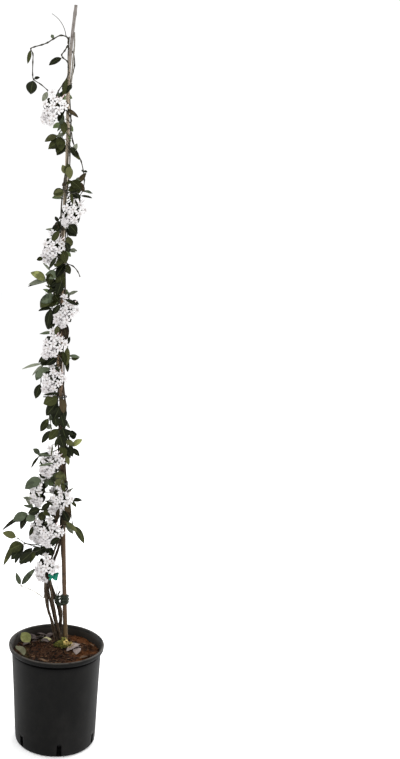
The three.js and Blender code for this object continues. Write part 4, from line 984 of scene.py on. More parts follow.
# leaves straight from the main stems, which close the column: foot x, z, tip x, z, width, tone, and depth
stemLeaves = [
    (-20, 540, -46, 522, 20, 0, -14), (-22, 536, -6, 552, 18, 0, -10), (-30, 538, -42, 552, 18, 0, -8),
    (-14, 545, 2, 562, 15, 0, -6), (-40, 528, -66, 516, 20, 0, -16), (-55, 522, -82, 494, 20, 1, -20),
    (-85, 545, -127, 526, 27, 1, -24), (-84, 541, -120, 502, 21, 0, -20), (-66, 523, -99, 493, 24, 0, -26),
    (16, 596, 38, 568, 12, 6, -8), (14, 590, 36, 578, 9, 0, -4), (14, 602, 48, 574, 13, 5, -10),
    (-44, 634, -78, 622, 20, 0, -16), (-40, 632, -22, 618, 20, 1, -14), (-38, 628, -46, 604, 18, 1, -16),
    (4, 628, 26, 602, 20, 0, -12), (8, 632, 30, 644, 16, 0, -8), (2, 630, -10, 606, 18, 3, -18),
    (4, 634, 8, 654, 16, 0, -10), (8, 612, 22, 590, 17, 3, -14), (-40, 710, -82, 702, 25, 4, -22),
    (-56, 706, -88, 688, 15, 4, -22), (-66, 660, -92, 663, 9, 6, -20), (-30, 716, -52, 724, 15, 0, -14),
    (-10, 716, 10, 692, 22, 5, -20), (6, 700, 20, 676, 16, 0, -8), (14, 802, 27, 766, 13, 0, -6),
    (12, 780, 24, 748, 12, 5, -6), (-22, 772, -56, 774, 12, 0, -14), (-20, 764, -48, 756, 10, 0, -18),
    (-2, 846, -28, 815, 20, 1, -18), (4, 852, 16, 814, 21, 0, -20), (2, 806, 14, 770, 19, 1, -20),
    (-2, 834, 10, 796, 20, 0, -22), (10, 812, 36, 800, 14, 5, -6), (6, 838, 34, 826, 13, 0, -8),
    (-4, 926, -43, 908, 27, 1, -20), (-4, 916, -36, 878, 26, 0, -16), (0, 908, -17, 866, 23, 0, -22),
    (0, 884, 12, 848, 16, 0, -22), (2, 926, 8, 884, 18, 3, -20), (-2, 902, 12, 868, 19, 0, -14),
    (-12, 884, -28, 862, 12, 4, -12), (-24, 1000, -64, 974, 21, 4, -16), (-10, 1018, -50, 1012, 23, 1, -12),
    (-8, 1006, -32, 984, 17, 0, -14), (22, 1020, 44, 1022, 13, 1, -2), (-6, 1024, -24, 1040, 12, 0, -12),
    (-20, 1084, -56, 1082, 6, 4, -14), (-6, 1104, -18, 1080, 13, 5, -24), (0, 1112, 12, 1072, 19, 7, -20),
    (-12, 1142, -32, 1102, 23, 0, -12), (-14, 1120, -34, 1094, 18, 0, -14),
    (-14, 1176, -55, 1162, 23, 4, -18), (-10, 1172, -42, 1150, 23, 1, -14),
    (-22, 1146, -58, 1141, 7, 0, -14), (-4, 1156, -22, 1126, 17, 0, -10), (-6, 1198, -38, 1185, 13, 0, -14),
    (2, 1174, 38, 1158, 9, 0, -62), (-8, 1226, -43, 1228, 23, 4, -18), (-10, 1216, -32, 1200, 19, 0, -14),
    (-8, 1240, -32, 1262, 4, 6, -14), (-30, 1216, -84, 1204, 13, 6, -18), (0, 1256, 18, 1230, 18, 1, -10),
    (-2, 1216, -14, 1178, 20, 0, -20), (0, 1286, -20, 1248, 27, 1, -20), (-4, 1292, 6, 1256, 21, 1, -22),
    (-12, 1272, -36, 1254, 14, 0, -12), (-48, 1270, -64, 1265, 10, 1, -40),
    (-4, 1348, -31, 1324, 22, 0, -14), (-14, 1336, -44, 1337, 7, 0, -12), (4, 1312, 14, 1284, 14, 0, -60),
    (6, 1350, 31, 1322, 25, 0, -12), (8, 1288, 30, 1283, 6, 6, -8), (-8, 1360, -20, 1340, 14, 0, -12),
    (2, 1428, -26, 1420, 20, 5, -14), (12, 1456, 40, 1434, 27, 1, -12), (10, 1428, 36, 1414, 20, 0, -10),
    (32, 1448, 52, 1474, 12, 3, -8), (30, 1456, 49, 1428, 14, 3, -6), (8, 1492, 13, 1458, 17, 5, -18),
    (0, 1552, -40, 1530, 24, 1, -18), (4, 1540, -20, 1514, 20, 0, -14), (12, 1538, 31, 1508, 14, 0, -8),
    (2, 1566, -22, 1556, 10, 6, -12), (0, 1600, -20, 1570, 7, 4, -8), (0, 1668, -18, 1640, 13, 0, -8),
    (0, 1640, -14, 1608, 16, 0, -10), (4, 1690, -10, 1668, 9, 0, -6), (-2, 1628, -18, 1592, 15, 0, -26),
    (-8, 1030, -36, 1008, 20, 0, -34), (-14, 1276, -34, 1244, 9, 0, -46), (-8, 1338, -28, 1308, 15, 1, -44),
    (14, 1428, 20, 1398, 8, 1, -66), (30, 1426, 38, 1402, 5, 0, -66), (-56, 614, -84, 596, 20, 4, 2),
    (0, 570, -20, 546, 17, 0, -16), (-16, 780, -58, 784, 7, 4, -46), (-10, 768, -54, 760, 6, 4, -66),
    (8, 1428, 40, 1414, 16, 0, -34), (-60, 630, -92, 636, 7, 4, 4), (-4, 1162, -20, 1136, 12, 0, -60),
    (10, 1352, 32, 1330, 22, 0, -40), (-20, 660, -44, 640, 14, 0, -48), (8, 640, 26, 606, 14, 0, -30),
    (6, 576, -21, 559, 14, 0, -64), (-30, 534, -14, 508, 18, 0, -6), (-48, 530, -36, 506, 18, 0, -8),
    (10, 650, 30, 628, 16, 3, -20), (14, 636, 30, 612, 16, 7, -12), (6, 618, 24, 600, 14, 3, -10),
    (24, 1412, 34, 1392, 5, 0, -64), (8, 1380, 2, 1366, 6, 0, -66), (14, 1682, -3, 1656, 10, 0, -10),
    (-64, 592, -74, 566, 10, 0, -22), (2, 650, -6, 620, 9, 7, -50), (4, 715, 14, 690, 11, 1, -48),
    (-34, 668, -14, 658, 7, 0, -58), (-2, 834, -12, 802, 9, 0, -48), (-18, 812, -21, 784, 4, 1, -58),
    (4, 940, -44, 934, 7, 0, -48), (-16, 1008, -4, 994, 8, 0, -58), (-28, 984, -20, 972, 6, 0, -60),
    (-22, 1032, -57, 1012, 17, 0, -22), (2, 1044, 9, 1004, 13, 1, -14), (-8, 1110, -17, 1086, 10, 5, -64),
    (8, 692, 16, 678, 5, 0, -62), (-40, 776, -26, 768, 5, 0, -62), (-32, 600, -22, 588, 6, 0, -60),
    (-60, 690, -52, 676, 6, 0, -56),
]


def makeStemLeaves(name, rows, seed):
    rng = random.Random(seed)
    bm = startMesh()
    for footX, footZ, tipX, tipZ, width, tone, depth in rows:
        foot = spotAt(footX, depth + rng.uniform(-2, 2), footZ)
        tip = spotAt(tipX, depth + rng.uniform(-9, 4), tipZ)
        face = Vector((rng.uniform(-0.3, 0.3), -0.85, rng.uniform(0.3, 0.6))).normalized()
        stem = stemTree.find(foot - spotAt(0, 0, 12))[0]
        twig = smoothPath([stem, (stem + foot) / 2 + spotAt(0, -2, 2), foot], 3)
        sweepTube(bm, twig, (1.2, 0.9), 6, stalkSlot)
        addLeaf(bm, foot, tip, face, width * mm, tone, rng)
    endMesh(name, bm, leafMaterials)


for part in range(4):
    makeStemLeaves("stemLeaves" + "ABCD"[part], stemLeaves[part::4], 40 + part)
print("stem leaves made:", len(stemLeaves))

# --- flower clusters
# centre, the direction that the cluster faces in degrees round the plant, and whether only a half of it shows
clusterRows = [
    ((-32, -42, 1624), 262, False), ((22, -42, 1383), 278, False), ((-27, -42, 1296), 262, False),
    ((7, -44, 1142), 274, False), ((-21, -42, 1058), 266, False), ((-22, -42, 971), 264, False),
    ((-24, -34, 761), 264, False), ((-51, -24, 678), 250, True), ((3, -32, 661), 276, False),
    ((-52, -8, 576), 252, True), ((-21, -30, 574), 270, False), ((-30, -22, 478), 266, False),
    ((-7, 44, 1170), 95, False), ((-8, 56, 690), 80, False),
]
# to the right and up from the cluster's centre
flowerSpots = [(-2, 34), (2, 19), (17, 14), (29, 3), (0, 3), (16, -7), (-17, 7), (-12, -9), (3, -21),
               (-20, -25), (-5, -35)]
# where else a bloom may sit: to the right, up and out
flowerShifts = [(0, 0, 0), (0, 0, 3), (0, 0, -3), (0, 0, 6), (0, 0, -6), (3, 3, 3), (-3, 3, 3), (3, -3, 3),
                (-3, -3, 3), (4, 4, -5), (-4, 4, -5), (4, -4, -5), (-4, -4, -5), (0, 5, 9), (0, -5, 9)]
flowerSettings = {
    "radius": 11, "tipSwirl": 20, "tipDrop": 1.2, "hubBehind": 22, "dome": 0.009, "rows": 7, "cols": 4,
    "thickness": 0.4 * mm, "petal": [(0, 0.2), (0.2, 0.26), (0.45, 0.33), (0.7, 0.37), (0.88, 0.3), (1, 0.1)],
    "bud": [(0, 0.5), (0.4, 0.6), (0.6, 0.8), (0.78, 1.35), (0.9, 1.2), (1, 0.15)],
    "white": (0.695, 0.685, 0.68), "shade": (0.38, 0.355, 0.362),
    "under": ((0.60, 0.58, 0.585), (0.45, 0.42, 0.43)), "throat": ((0.60, 0.54, 0.42), (0.24, 0.17, 0.12)),
    "calyx": ((0.08, 0.11, 0.03), (0.05, 0.08, 0.02)), "pink": ((0.60, 0.44, 0.43), (0.76, 0.68, 0.68)),
    # how near the solid's corners a bloom's tips have to lie, and how far right a half cluster goes
    "tipReach": 0.4 * mm, "halfSide": 8, "halfFillerSide": 6,
    # the least greyness high and low on the plant, where low ends, and what the left and low blooms add
    "greyLeast": (0.12, 0.24), "greyBelow": 800, "greyMore": 0.75,
    "fillers": 8, "halfFillers": 6, "tries": 400, "clear": 6.5 * mm,
    # middle and spread of the places of the fillers, then ranges
    "fillerSide": (-11, 7), "fillerRise": (-24, 9), "fillerReach": (25, 34), "fillerOut": (-9, -3),
    "fillerRadius": (8.6, 10.2), "fillerGrey": (0.55, 0.95), "fillerBroad": (1.05, 1.25),
    "buds": 5, "backLeaves": 9, "backWidth": (17, 23), "backReach": (25, 31),
    # the flower that a cluster lacks, and how far the others keep clear of its place
    "lacks": {"12": 8, "14": 9}, "lackReach": 13, "seed": 300, "stream": 900,
}


def makePetalMaterial():
    material, tree = startMaterial("petalWhite", 0.6, 0.12)
    whole, shade = flowerSettings["white"], flowerSettings["shade"]
    # painted shade: flowers low on the plant are mixed further towards the shade colour
    lowShade = ramp(tree, axis(tree, objectPlace(tree), "Z"), 1.5, 1.15)
    root = ramp(tree, axis(tree, bladePlace(tree), "Y"), 0.42, 0.0)
    for value, share in ((lowShade, 0.26), (root, 0.7), (ownShade(tree), 0.6)):
        whole = mix(tree, times(tree, value, share), whole, shade)
    veined = use(tree, veins, 5.0, 0.12)
    mottled = use(tree, mottle, whole, mix(tree, 0.35, whole, shade), 240.0, 0.6)
    lined = mix(tree, times(tree, veined["Rib"], 0.3), mottled["Colour"], shade)
    return endMaterial(material, lined, (veined["Height"], 0.25, 0.0005))


flowerMaterials = [
    makePetalMaterial(), makeMottledSkin("petalUnder", *flowerSettings["under"]),
    makeMottledSkin("flowerThroat", *flowerSettings["throat"]),
    makeMottledSkin("calyxGreen", *flowerSettings["calyx"]),
    leafMaterials[0], leafMaterials[underSlot], makeMottledSkin("budPink", *flowerSettings["pink"])]
petalSlot, petalUnderSlot, throatSlot, calyxSlot, bractSlot, bractUnderSlot, budSlot = range(7)


def addPetal(bm, centre, turn, angleAt, reach, broad, grey, cup):
    rows, cols = flowerSettings["rows"], flowerSettings["cols"]
    grid, normals = [], []
    for i in range(rows + 1):
        t = i / rows
        half = reach * blendRows(flowerSettings["petal"], t) * broad
        ahead = heading(angleAt(t))
        side = up.cross(ahead)
        line, faces = [], []
        for j in range(cols + 1):
            s = 2 * j / cols - 1
            height = reach * (0.1 * sin(pi * t) - (0.1 - cup) * t * t + 0.05 * s * t * (1 + s))
            out = reach * (0.12 + 0.88 * t + 0.07 * s * t)  # the end of each petal is oblique
            line.append(centre + turn @ (ahead * out + side * (s * half) + up * height))
            faces.append(turn @ (up - side * 0.3 * s * t).normalized())
        grid.append(line)
        normals.append(faces)
    addSheet(bm, grid, normals, flowerSettings["thickness"], petalSlot, petalUnderSlot, grey)


def addFlower(bm, centre, face, spin, radius, hub, grey, broad, rng):
    turn = up.rotation_difference(face)
    for k in range(5):
        addPetal(bm, centre, turn, lambda t: spin + radians(72 * k + flowerSettings["tipSwirl"] * t**1.3),
                 radius * mm, broad, grey, rng.uniform(-0.06, 0.1))
    # throat, then tube, calyx and stalk down to the hub
    sweepTube(bm, [centre + face * out * mm for out in (-0.6, 0.3, 0.9)], (1.5, 0.6), 8, throatSlot)
    length = (hub - centre).length
    tubeEnd = centre.lerp(hub, min(9 * mm / length, 0.6))
    calyxEnd = centre.lerp(hub, min(12 * mm / length, 0.8))
    bend = centre - face * min(4 * mm, length * 0.3)
    sweepTube(bm, smoothPath([centre, bend, tubeEnd], 3), (1.55, 0.95), 7, petalUnderSlot)
    sweepTube(bm, [tubeEnd.lerp(centre, 0.15), tubeEnd, calyxEnd], (1.35, 0.65), 7, calyxSlot)
    sweepTube(bm, [calyxEnd, calyxEnd.lerp(hub, 0.5), hub], (0.5, 0.5), 5, calyxSlot)


def addBud(bm, foot, end, rng):
    middle = foot.lerp(end, 0.5) + spotAt(rng.uniform(-1, 1), rng.uniform(-1, 1))
    sweepTube(bm, smoothPath([foot, middle, end], 4),
              lambda share: blendRows(flowerSettings["bud"], share) * mm, 7,
              rng.choice((budSlot, budSlot, petalSlot)), 0.2)


# blooms go grey from the right and above to the left and below
def greyAt(side, rise, height):
    least = flowerSettings["greyLeast"][height <= flowerSettings["greyBelow"]]
    return least + flowerSettings["greyMore"] * max(0, min(1, (-side - rise * 0.9 - 6) / 30))


def makeCluster(index, at, faces, half):
    name = f"{index + 1:02d}"
    node = "cluster_" + name
    rng = random.Random(flowerSettings["seed"] + index)
    draw = randomStream(flowerSettings["stream"] + index)
    tree = placeTree(packedCorners(node))
    ahead = heading(radians(faces))
    right = up.cross(ahead)
    lacks = flowerSettings["lacks"].get(name)

    def spot(side, rise, out):
        return spotAt(*at) + (right * side + ahead * out + up * rise) * mm

    hub = spot(-2, -4, -flowerSettings["hubBehind"])
    bm = startMesh()
    placed = []
    for which, (side, rise) in enumerate(flowerSpots):
        spin = radians(draw() * 72)
        lean = [draw() - 0.5, draw() - 0.5]
        radius = flowerSettings["radius"] * (0.9 + 0.15 * draw())
        if (half and side > flowerSettings["halfSide"]) or which == lacks:
            continue
        out = 3 - flowerSettings["dome"] * (side**2 + rise**2)
        face = ahead + right * (side * 0.018 + lean[0] * 0.5) + up * (rise * 0.014 + 0.12 + lean[1] * 0.5)
        face.normalize()
        turn = up.rotation_difference(face)
        tips = [turn @ spotAt(radius * cos(a), radius * sin(a), -flowerSettings["tipDrop"])
                for a in (spin + radians(72 * k + flowerSettings["tipSwirl"]) for k in range(5))]
        for shift in flowerShifts:
            centre = spot(side + shift[0], rise + shift[1], out + shift[2])
            if sum(tree.find(centre + tip)[2] < flowerSettings["tipReach"] for tip in tips) > 2:
                grey = greyAt(side, rise, at[2])
                addFlower(bm, centre, face, spin, radius, hub, grey * rng.uniform(0.7, 1.2),
                          0.78 + 0.45 * grey, rng)
                placed.append(centre)
                break
    # smaller blooms behind the front ones close the cluster
    tries = 0
    mostSide, mostRise = flowerSettings["fillerReach"]
    rightmost = flowerSettings["halfFillerSide"] if half else mostSide
    wanted = len(placed) + flowerSettings["halfFillers" if half else "fillers"]
    while len(placed) < wanted and tries < flowerSettings["tries"]:
        tries += 1
        side, rise = rng.gauss(*flowerSettings["fillerSide"]), rng.gauss(*flowerSettings["fillerRise"])
        if side < -mostSide or side > rightmost or abs(rise) > mostRise:
            continue
        if lacks and (Vector((side, rise)) - Vector(flowerSpots[lacks])).length < flowerSettings["lackReach"]:
            continue
        centre = spot(side, rise, rng.uniform(*flowerSettings["fillerOut"]))
        if min((centre - other).length for other in placed) < flowerSettings["clear"]:
            continue
        face = ahead + right * (side * 0.03) + up * (rise * 0.02)
        face += Vector(rng.gauss(0, 0.22) for _ in range(3))
        addFlower(bm, centre, face.normalized(), rng.uniform(0, 6.3),
                  rng.uniform(*flowerSettings["fillerRadius"]), hub, rng.uniform(*flowerSettings["fillerGrey"]),
                  rng.uniform(*flowerSettings["fillerBroad"]), rng)
        placed.append(centre)
    for k in range(flowerSettings["buds"]):
        side = rng.uniform(-20, 6) if half else 4 + 6.5 * k + rng.uniform(-2, 2)
        addBud(bm, hub, spot(side, rng.uniform(24, 36) - 0.35 * k * k, rng.uniform(-6, 0)), rng)
    backSide, backRise = flowerSettings["backReach"]
    for k in range(flowerSettings["backLeaves"]):
        way = radians(rng.uniform(-12, 12) + 360 / flowerSettings["backLeaves"] * k)
        if lacks and cos(way - radians(290)) > 0.7:
            continue
        sideways = cos(way) * (0.4 if half and cos(way) > 0 else 1)
        tip = hub + (right * sideways * backSide + up * (sin(way) * backRise - 2)
                     + ahead * rng.uniform(2, 8)) * mm
        width = rng.uniform(*flowerSettings["backWidth"]) * mm
        addLeaf(bm, hub.lerp(tip, 0.1), tip, (ahead + up * 0.3).normalized(), width, bractSlot, rng,
                under=bractUnderSlot, stalk=calyxSlot)
    sweepTube(bm, smoothPath(shootFoot(node, hub) + [hub], 5), (1.4, 1.1), 8, calyxSlot)
    endMesh("bloomCluster" + name, bm, flowerMaterials, node)
    return len(placed)


blooms = sum(makeCluster(index, *row) for index, row in enumerate(clusterRows))
print("clusters made:", blooms, "blooms")

# --- ties
tieSettings = {
    # colour and roughness
    "skins": {"green": ((0.013, 0.017, 0.010), 0.6), "sage": ((0.022, 0.029, 0.018), 0.6),
              "teal": ((0.004, 0.135, 0.085), 0.45), "black": ((0.012, 0.013, 0.012), 0.5)},
    "segments": 72, "ribbonThickness": 0.8 * mm, "ribbonZ": 440, "ribbonMiddle": (-43.2, 0, 0),
    "knot": (-29.5, -10, 1.5),
    # the soft ring's profile, in millimetres in from its outside
    "softInner": 7.5, "softEdge": 7.2, "softMiddle": 4.6, "softBulge": 3.6, "softWaist": 2.6, "softCords": 3,
    "softSteps": 21, "bandDepth": 1.3, "bandOutside": 0.4, "bandTail": [(-2.2, 0), (-1.9, 0.5), (-1.7, -1.5)],
    "loops": [[(9, 0, 12), (2, -4, 13), (-5, -4, 8), (-8, -3, 0), (-6, -3, -8), (0, -3, -13), (8, 0, -12)],
              [(8, -1, 8), (2, -5, 8), (-3, -6, 3), (-3, -5, -4), (2, -4, -8), (8, -1, -7)],
              [(2, 3, 9), (-6, 0, 11), (-12, 0, 5), (-13, 1, -3), (-10, 2, -11), (-4, 3, -16), (2, 4, -12)]],
    "string": [(-9, -3, 4), (-9.5, -6, 14), (-9, -9, 26), (-8.5, -12, 38), (-9, -15, 50)],
    # each half of the bow: its side, how far it reaches, its rise and how much it widens
    "bows": [(-1, 8.5, 1.8, 7), (1, 13.5, -0.8, 10)],
}


def makeTieMaterial(name, colour, roughness):
    light = [min(c * 1.9 + 0.006, 1) for c in colour]
    return makeMottledSkin("tie" + name.title(), colour, light, 160.0, 0.55, roughness, 0.15, (0.4, 0.0006))


tieSkins = {name: makeTieMaterial(name, *values) for name, values in tieSettings["skins"].items()}


# middle, outer radius and height of a packed ring
def ringSize(node):
    low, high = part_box(node)
    return (Vector(low) + Vector(high)) / 2, (high[0] - low[0]) / 2, high[2] - low[2]


def makeBand(name, node, lobes, skins):
    centre, outer, height = ringSize(node)
    tail = [centre + heading(angle) * outer * 0.98 + up * dz * mm for angle, dz in tieSettings["bandTail"]]
    outer -= tieSettings["bandOutside"] * mm
    inner, half, steps = outer - tieSettings["bandDepth"] * mm, height / 2, lobes * 6
    rows = [(inner, -half), (outer - 0.5 * mm, -half)]
    for k in range(steps + 1):
        wave = abs(cos(pi * k / steps * lobes)) ** 2
        rows.append((outer - (outer - inner) * 0.45 * wave, -half + height * k / steps))
    bm = startMesh()
    turnProfile(bm, rows + [(inner, half)], tieSettings["segments"], centre, closed=True,
                wobble=lambda angle, row: 0.35 * mm * sin(3 * angle + row * 0.4))
    if len(skins) > 1:
        for face in bm.faces:
            face.material_index = int(face.calc_center_median().z < centre.z)
    tail.append(tail[-1] + spotAt(2, -4, -6))
    sweepTube(bm, smoothPath(tail, 4), (1.0, 0.6), 6)
    bmesh.ops.recalc_face_normals(bm, faces=bm.faces)
    endMesh(name, bm, [tieSkins[skin] for skin in skins], node)


makeBand("bandLow", "tie_band_low", 2, ["sage"])
makeBand("bandHigh", "tie_band_high", 3, ["sage", "green"])


def makeSoftTie():
    centre, outer, height = ringSize("tie_soft")
    half, steps = height / 2, tieSettings["softSteps"]
    rows = [(outer - tieSettings["softInner"] * mm, -half), (outer - tieSettings["softEdge"] * mm, -half)]
    for k in range(steps + 1):
        share = k / steps
        bulge = tieSettings["softBulge"] * abs(sin(pi * tieSettings["softCords"] * share)) ** 0.7
        waist = tieSettings["softWaist"] * (2 * share - 1) ** 2
        rows.append((outer + (bulge - waist - tieSettings["softMiddle"]) * mm, height * share - half))
    rows.append((rows[0][0], half))
    bm = startMesh()
    turnProfile(bm, rows, tieSettings["segments"], centre, closed=True,
                wobble=lambda angle, row: (0.5 * sin(2 * angle + row) + 0.25 * sin(5 * angle)) * mm)
    bmesh.ops.recalc_face_normals(bm, faces=bm.faces)
    side = centre + Vector((-outer + 2 * mm, -outer * 0.5, 0))
    for loop in tieSettings["loops"]:
        sweepTube(bm, smoothPath([side + spotAt(*place) for place in loop], 5), (2.1, 2.1), 8)
    string = [side + spotAt(*place) for place in tieSettings["string"]]
    sweepTube(bm, smoothPath(string, 5), (1.2, 1.2), 6, 1)
    endMesh("softTie", bm, [tieSkins["green"], tieSkins["sage"]], "tie_soft")


# a flat ribbon along points, its width in millimetres held towards one side
def addRibbon(bm, points, widthAt, side):
    grid, normals = [], []
    path = smoothPath(points, 5)
    last = len(path) - 1
    for i, p in enumerate(path):
        ahead = (path[min(i + 1, last)] - path[max(i - 1, 0)]).normalized()
        across = (side - ahead * side.dot(ahead)).normalized()
        width = widthAt(i / last) * mm
        grid.append([p + across * width * s for s in (-0.5, -0.17, 0.17, 0.5)])
        normals.append([ahead.cross(across)] * 4)
    addSheet(bm, grid, normals, tieSettings["ribbonThickness"], 0, 0)


def makeRibbon():
    middle, knot = (caneAt(tieSettings["ribbonZ"]) * mm + spotAt(*tieSettings[name])
                    for name in ("ribbonMiddle", "knot"))
    bm = startMesh()
    loop = [middle + spotAt(7.5 + 6.5 * cos(a), 11 * sin(a), 1.2 * sin(2 * a))
            for a in (radians(d) for d in range(0, 361, 30))]
    addRibbon(bm, loop, lambda share: 6.5, up)
    for sign, out, rise, widen in tieSettings["bows"]:
        bow = [(0, 0, 0), (sign * 5, -5, 2 * rise), (sign * 0.85 * out, -4, 2 * rise), (sign * out, 1, rise),
               (sign * 0.5 * out, 3, rise), (0, 0, 0)]
        tail = [(0, 0, 0), (sign * 4, -4, -5), (sign * 9, -4, -10)]
        addRibbon(bm, [knot + spotAt(*place) for place in bow], lambda share: 10 + widen * sin(pi * share),
                  Vector((sign * 0.25, 0.1, 1)))
        addRibbon(bm, [knot + spotAt(*place) for place in tail], lambda share: 4 + 2 * share,
                  Vector((1, 0.3, sign * 0.6)))
    sweepTube(bm, [knot + spotAt(0, 0, z) for z in (-4, 0, 4)], lambda share: (5.2 + sin(3 * share)) * mm, 10)
    endMesh("ribbonTie", bm, [tieSkins["teal"]], "tie_ribbon")


def makeBlackTie():
    low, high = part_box("tie_black")
    outer = (high[1] - low[1]) / 2
    centre = Vector((high[0] - outer, (low[1] + high[1]) / 2, (low[2] + high[2]) / 2))
    reach = outer - 0.8 * mm
    loop = [centre + heading(a) * reach + up * 0.6 * mm * sin(2 * a)
            for a in (radians(d) for d in range(-170, 191, 20))]
    end = loop[-1]
    loop += [end + spotAt(-8, -3, 0.6), end + spotAt(-17, -6, 0.2),
             Vector((low[0] + 1 * mm, end.y - 7 * mm, centre.z))]
    bm = startMesh()
    sweepTube(bm, smoothPath(loop, 4), (1.5, 1.5), 8)
    endMesh("blackTie", bm, [tieSkins["black"]], "tie_black")


makeSoftTie()
makeRibbon()
makeBlackTie()
print("ties made")

# --- what lies on the soil
litterSettings = {
    # two colours, shift forwards in millimetres, breadth, facing, and whether the tip lies inwards
    "fallen": {"left": ((0.115, 0.122, 0.040), (0.21, 0.21, 0.085), 0, 1.12, (0.25, -0.85, 0.5), False),
               "pale": ((0.32, 0.30, 0.17), (0.19, 0.165, 0.085), 4, 1.5, (0, 0, 1), False),
               "dry": ((0.27, 0.225, 0.205), (0.18, 0.14, 0.125), 0, 1, (0, 0, 1), True)},
    # foot, tip, width and skin of the leaves that lie about
    "leaves": [((-62, 62), (-30, 88), 17, 0), ((-50, 70), (-84, 82), 19, 0), ((-20, 84), (-56, 94), 15, 0),
               ((-36, 44), (-66, 36), 14, 0), ((-4, 70), (14, 92), 12, 0), ((-30, 74), (-10, 96), 14, 0),
               ((-60, 78), (-34, 66), 12, 3), ((58, -50), (82, -36), 11, 2), ((-20, -70), (-46, -60), 10, 2),
               ((86, 44), (98, 18), 12, 2), ((64, 34), (27, -8), 21, 3), ((58, 14), (51, -20), 20, 3),
               ((-44, 60), (-20, 40), 14, 0), ((-70, 50), (-88, 20), 15, 0)],
    "skins": {"deadBrown": ((0.026, 0.019, 0.017), (0.07, 0.054, 0.05)),
              "deadGrey": ((0.088, 0.088, 0.048), (0.052, 0.052, 0.026)),
              "deadTan": ((0.11, 0.062, 0.03), (0.05, 0.03, 0.018)),
              "deadPink": ((0.225, 0.185, 0.17), (0.14, 0.11, 0.10))},
    "seed": 9,
}


def makeOldLeafMaterial(name, colour, second):
    material, tree = startMaterial(name, 0.75, 0.12)
    veined = use(tree, veins, 7.0)
    mottled = use(tree, mottle, colour, second, 70.0)
    rib = mix(tree, times(tree, veined["Rib"], 0.5), mottled["Colour"], [c * 1.4 for c in colour])
    return endMaterial(material, rib, (veined["Height"], 0.6, 0.0006))


def makeFallen(name, colour, second, forwards, breadth, face, inwards):
    node = "fallen_leaf_" + name
    corners = packedCorners(node)
    ends = max(((a, b) for a in corners for b in corners), key=lambda pair: (pair[0] - pair[1]).length)
    base, tip = sorted(ends, key=lambda place: place.length, reverse=inwards)
    across = (tip - base).normalized().cross(up).normalized()
    width = max(abs((c - base).dot(across)) for c in corners) * 2 * breadth
    shift = spotAt(0, -forwards)
    bm = startMesh()
    addLeaf(bm, base + shift, tip + shift, Vector(face), width, 0, random.Random(len(node)), 0.02, 0, 0)
    endMesh("fallenLeaf" + name, bm, [makeOldLeafMaterial(node + "Skin", colour, second)], node)


for name, row in litterSettings["fallen"].items():
    makeFallen(name, *row)


def onSoil(x, y, lift):
    return Vector((x * mm, y * mm, soilHeight(x * mm, y * mm) + lift * mm))


def makeLitter():
    rng = random.Random(litterSettings["seed"])
    bm = startMesh()
    for foot, tip, width, kind in litterSettings["leaves"]:
        ends = [onSoil(*foot, 2.5), onSoil(*tip, rng.uniform(3, 8))]
        face = (up + Vector((rng.gauss(0, 0.3), rng.gauss(0, 0.3), 0))).normalized()
        addLeaf(bm, *ends, face, width * mm, kind, rng, rng.uniform(-0.1, 0.12), kind, kind)
    # one that lies against the rim
    addLeaf(bm, spotAt(-106, -4, 258), spotAt(-83, -57, 255), Vector((0.4, -0.5, 0.75)), 24 * mm, 1, rng,
            under=1, stalk=1)
    skins = [makeOldLeafMaterial(name, *colours) for name, colours in litterSettings["skins"].items()]
    endMesh("deadLeaves", bm, skins)


# a mossy cushion round the foot of the stems, with short sprouts
crownSettings = {
    "middle": (18, 23), "spread": (20, 14), "height": 24, "cushions": 90, "sprouts": 46,
    "sproutMiddle": (20, 18), "strawFrom": 24, "moss": ((0.17, 0.15, 0.034), (0.05, 0.065, 0.015)),
    "straw": ((0.56, 0.43, 0.15), (0.17, 0.11, 0.03)), "seed": 10,
}


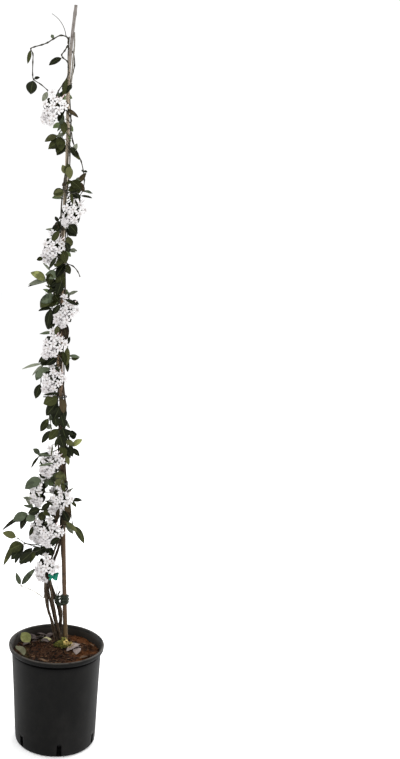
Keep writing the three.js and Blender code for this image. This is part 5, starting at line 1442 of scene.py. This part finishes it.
def makeCrown():
    rng = random.Random(crownSettings["seed"])
    bm = startMesh()
    layer = bm.verts.layers.float["vary"]
    for _ in range(crownSettings["cushions"]):
        angle, reach = rng.uniform(0, 6.3), rng.random() ** 0.7
        x, y = (c + reach * r * t for c, r, t in
                zip(crownSettings["middle"], crownSettings["spread"], (cos(angle), sin(angle))))
        middle = onSoil(x, y, crownSettings["height"] * (1 - reach**1.6) * rng.uniform(0.3, 1))
        size, vary = rng.uniform(2, 4.4), rng.random()
        for vert in bmesh.ops.create_icosphere(bm, subdivisions=2, radius=size * mm)["verts"]:
            lump = 1 + 0.5 * noise.noise(vert.co * 700 + middle * 300)
            vert.co = middle + Vector((vert.co.x * lump, vert.co.y * lump, vert.co.z * lump * 0.8))
            vert[layer] = vary
            for face in vert.link_faces:
                face.material_index = int(x + 6 * (vary - 0.5) > crownSettings["strawFrom"])
    for _ in range(crownSettings["sprouts"]):
        angle, reach = rng.uniform(0, 6.3), rng.uniform(3, 20)
        x = crownSettings["sproutMiddle"][0] + reach * 1.1 * cos(angle)
        y = crownSettings["sproutMiddle"][1] + reach * 0.8 * sin(angle)
        foot = onSoil(x, y, 3)
        tip = foot + spotAt(cos(angle) * 6, sin(angle) * 5 - 2, rng.uniform(7, 16) * (1.2 - reach / 30))
        face = Vector((cos(angle), sin(angle) - 0.6, 0.5)).normalized()
        addLeaf(bm, foot, tip, face, rng.uniform(7, 11) * mm,
                int(x + rng.uniform(-8, 8) > crownSettings["strawFrom"]), rng, under=0, stalk=0)
    skins = [makeMottledSkin("crownMoss", *crownSettings["moss"], roughness=0.8),
             makeMottledSkin("crownStraw", *crownSettings["straw"], roughness=0.8)]
    endMesh("rootCrown", bm, skins)


makeLitter()
makeCrown()
print("litter made")


# --- floor
def makeFloor():
    bm = startMesh()
    turnProfile(bm, [(0, 0), (2, 0), (lightSettings["floorRadius"], 0)], 96)
    floor = addObject("studioFloor", meshFrom("studioFloor", bm))
    paper = makeMottledSkin("floorPaper", [0.97] * 3, [0.96] * 3, 3.0, 0.5, 0.9, 0.1, None)
    floor.data.materials.append(paper)


makeFloor()
bpy.context.view_layer.update()
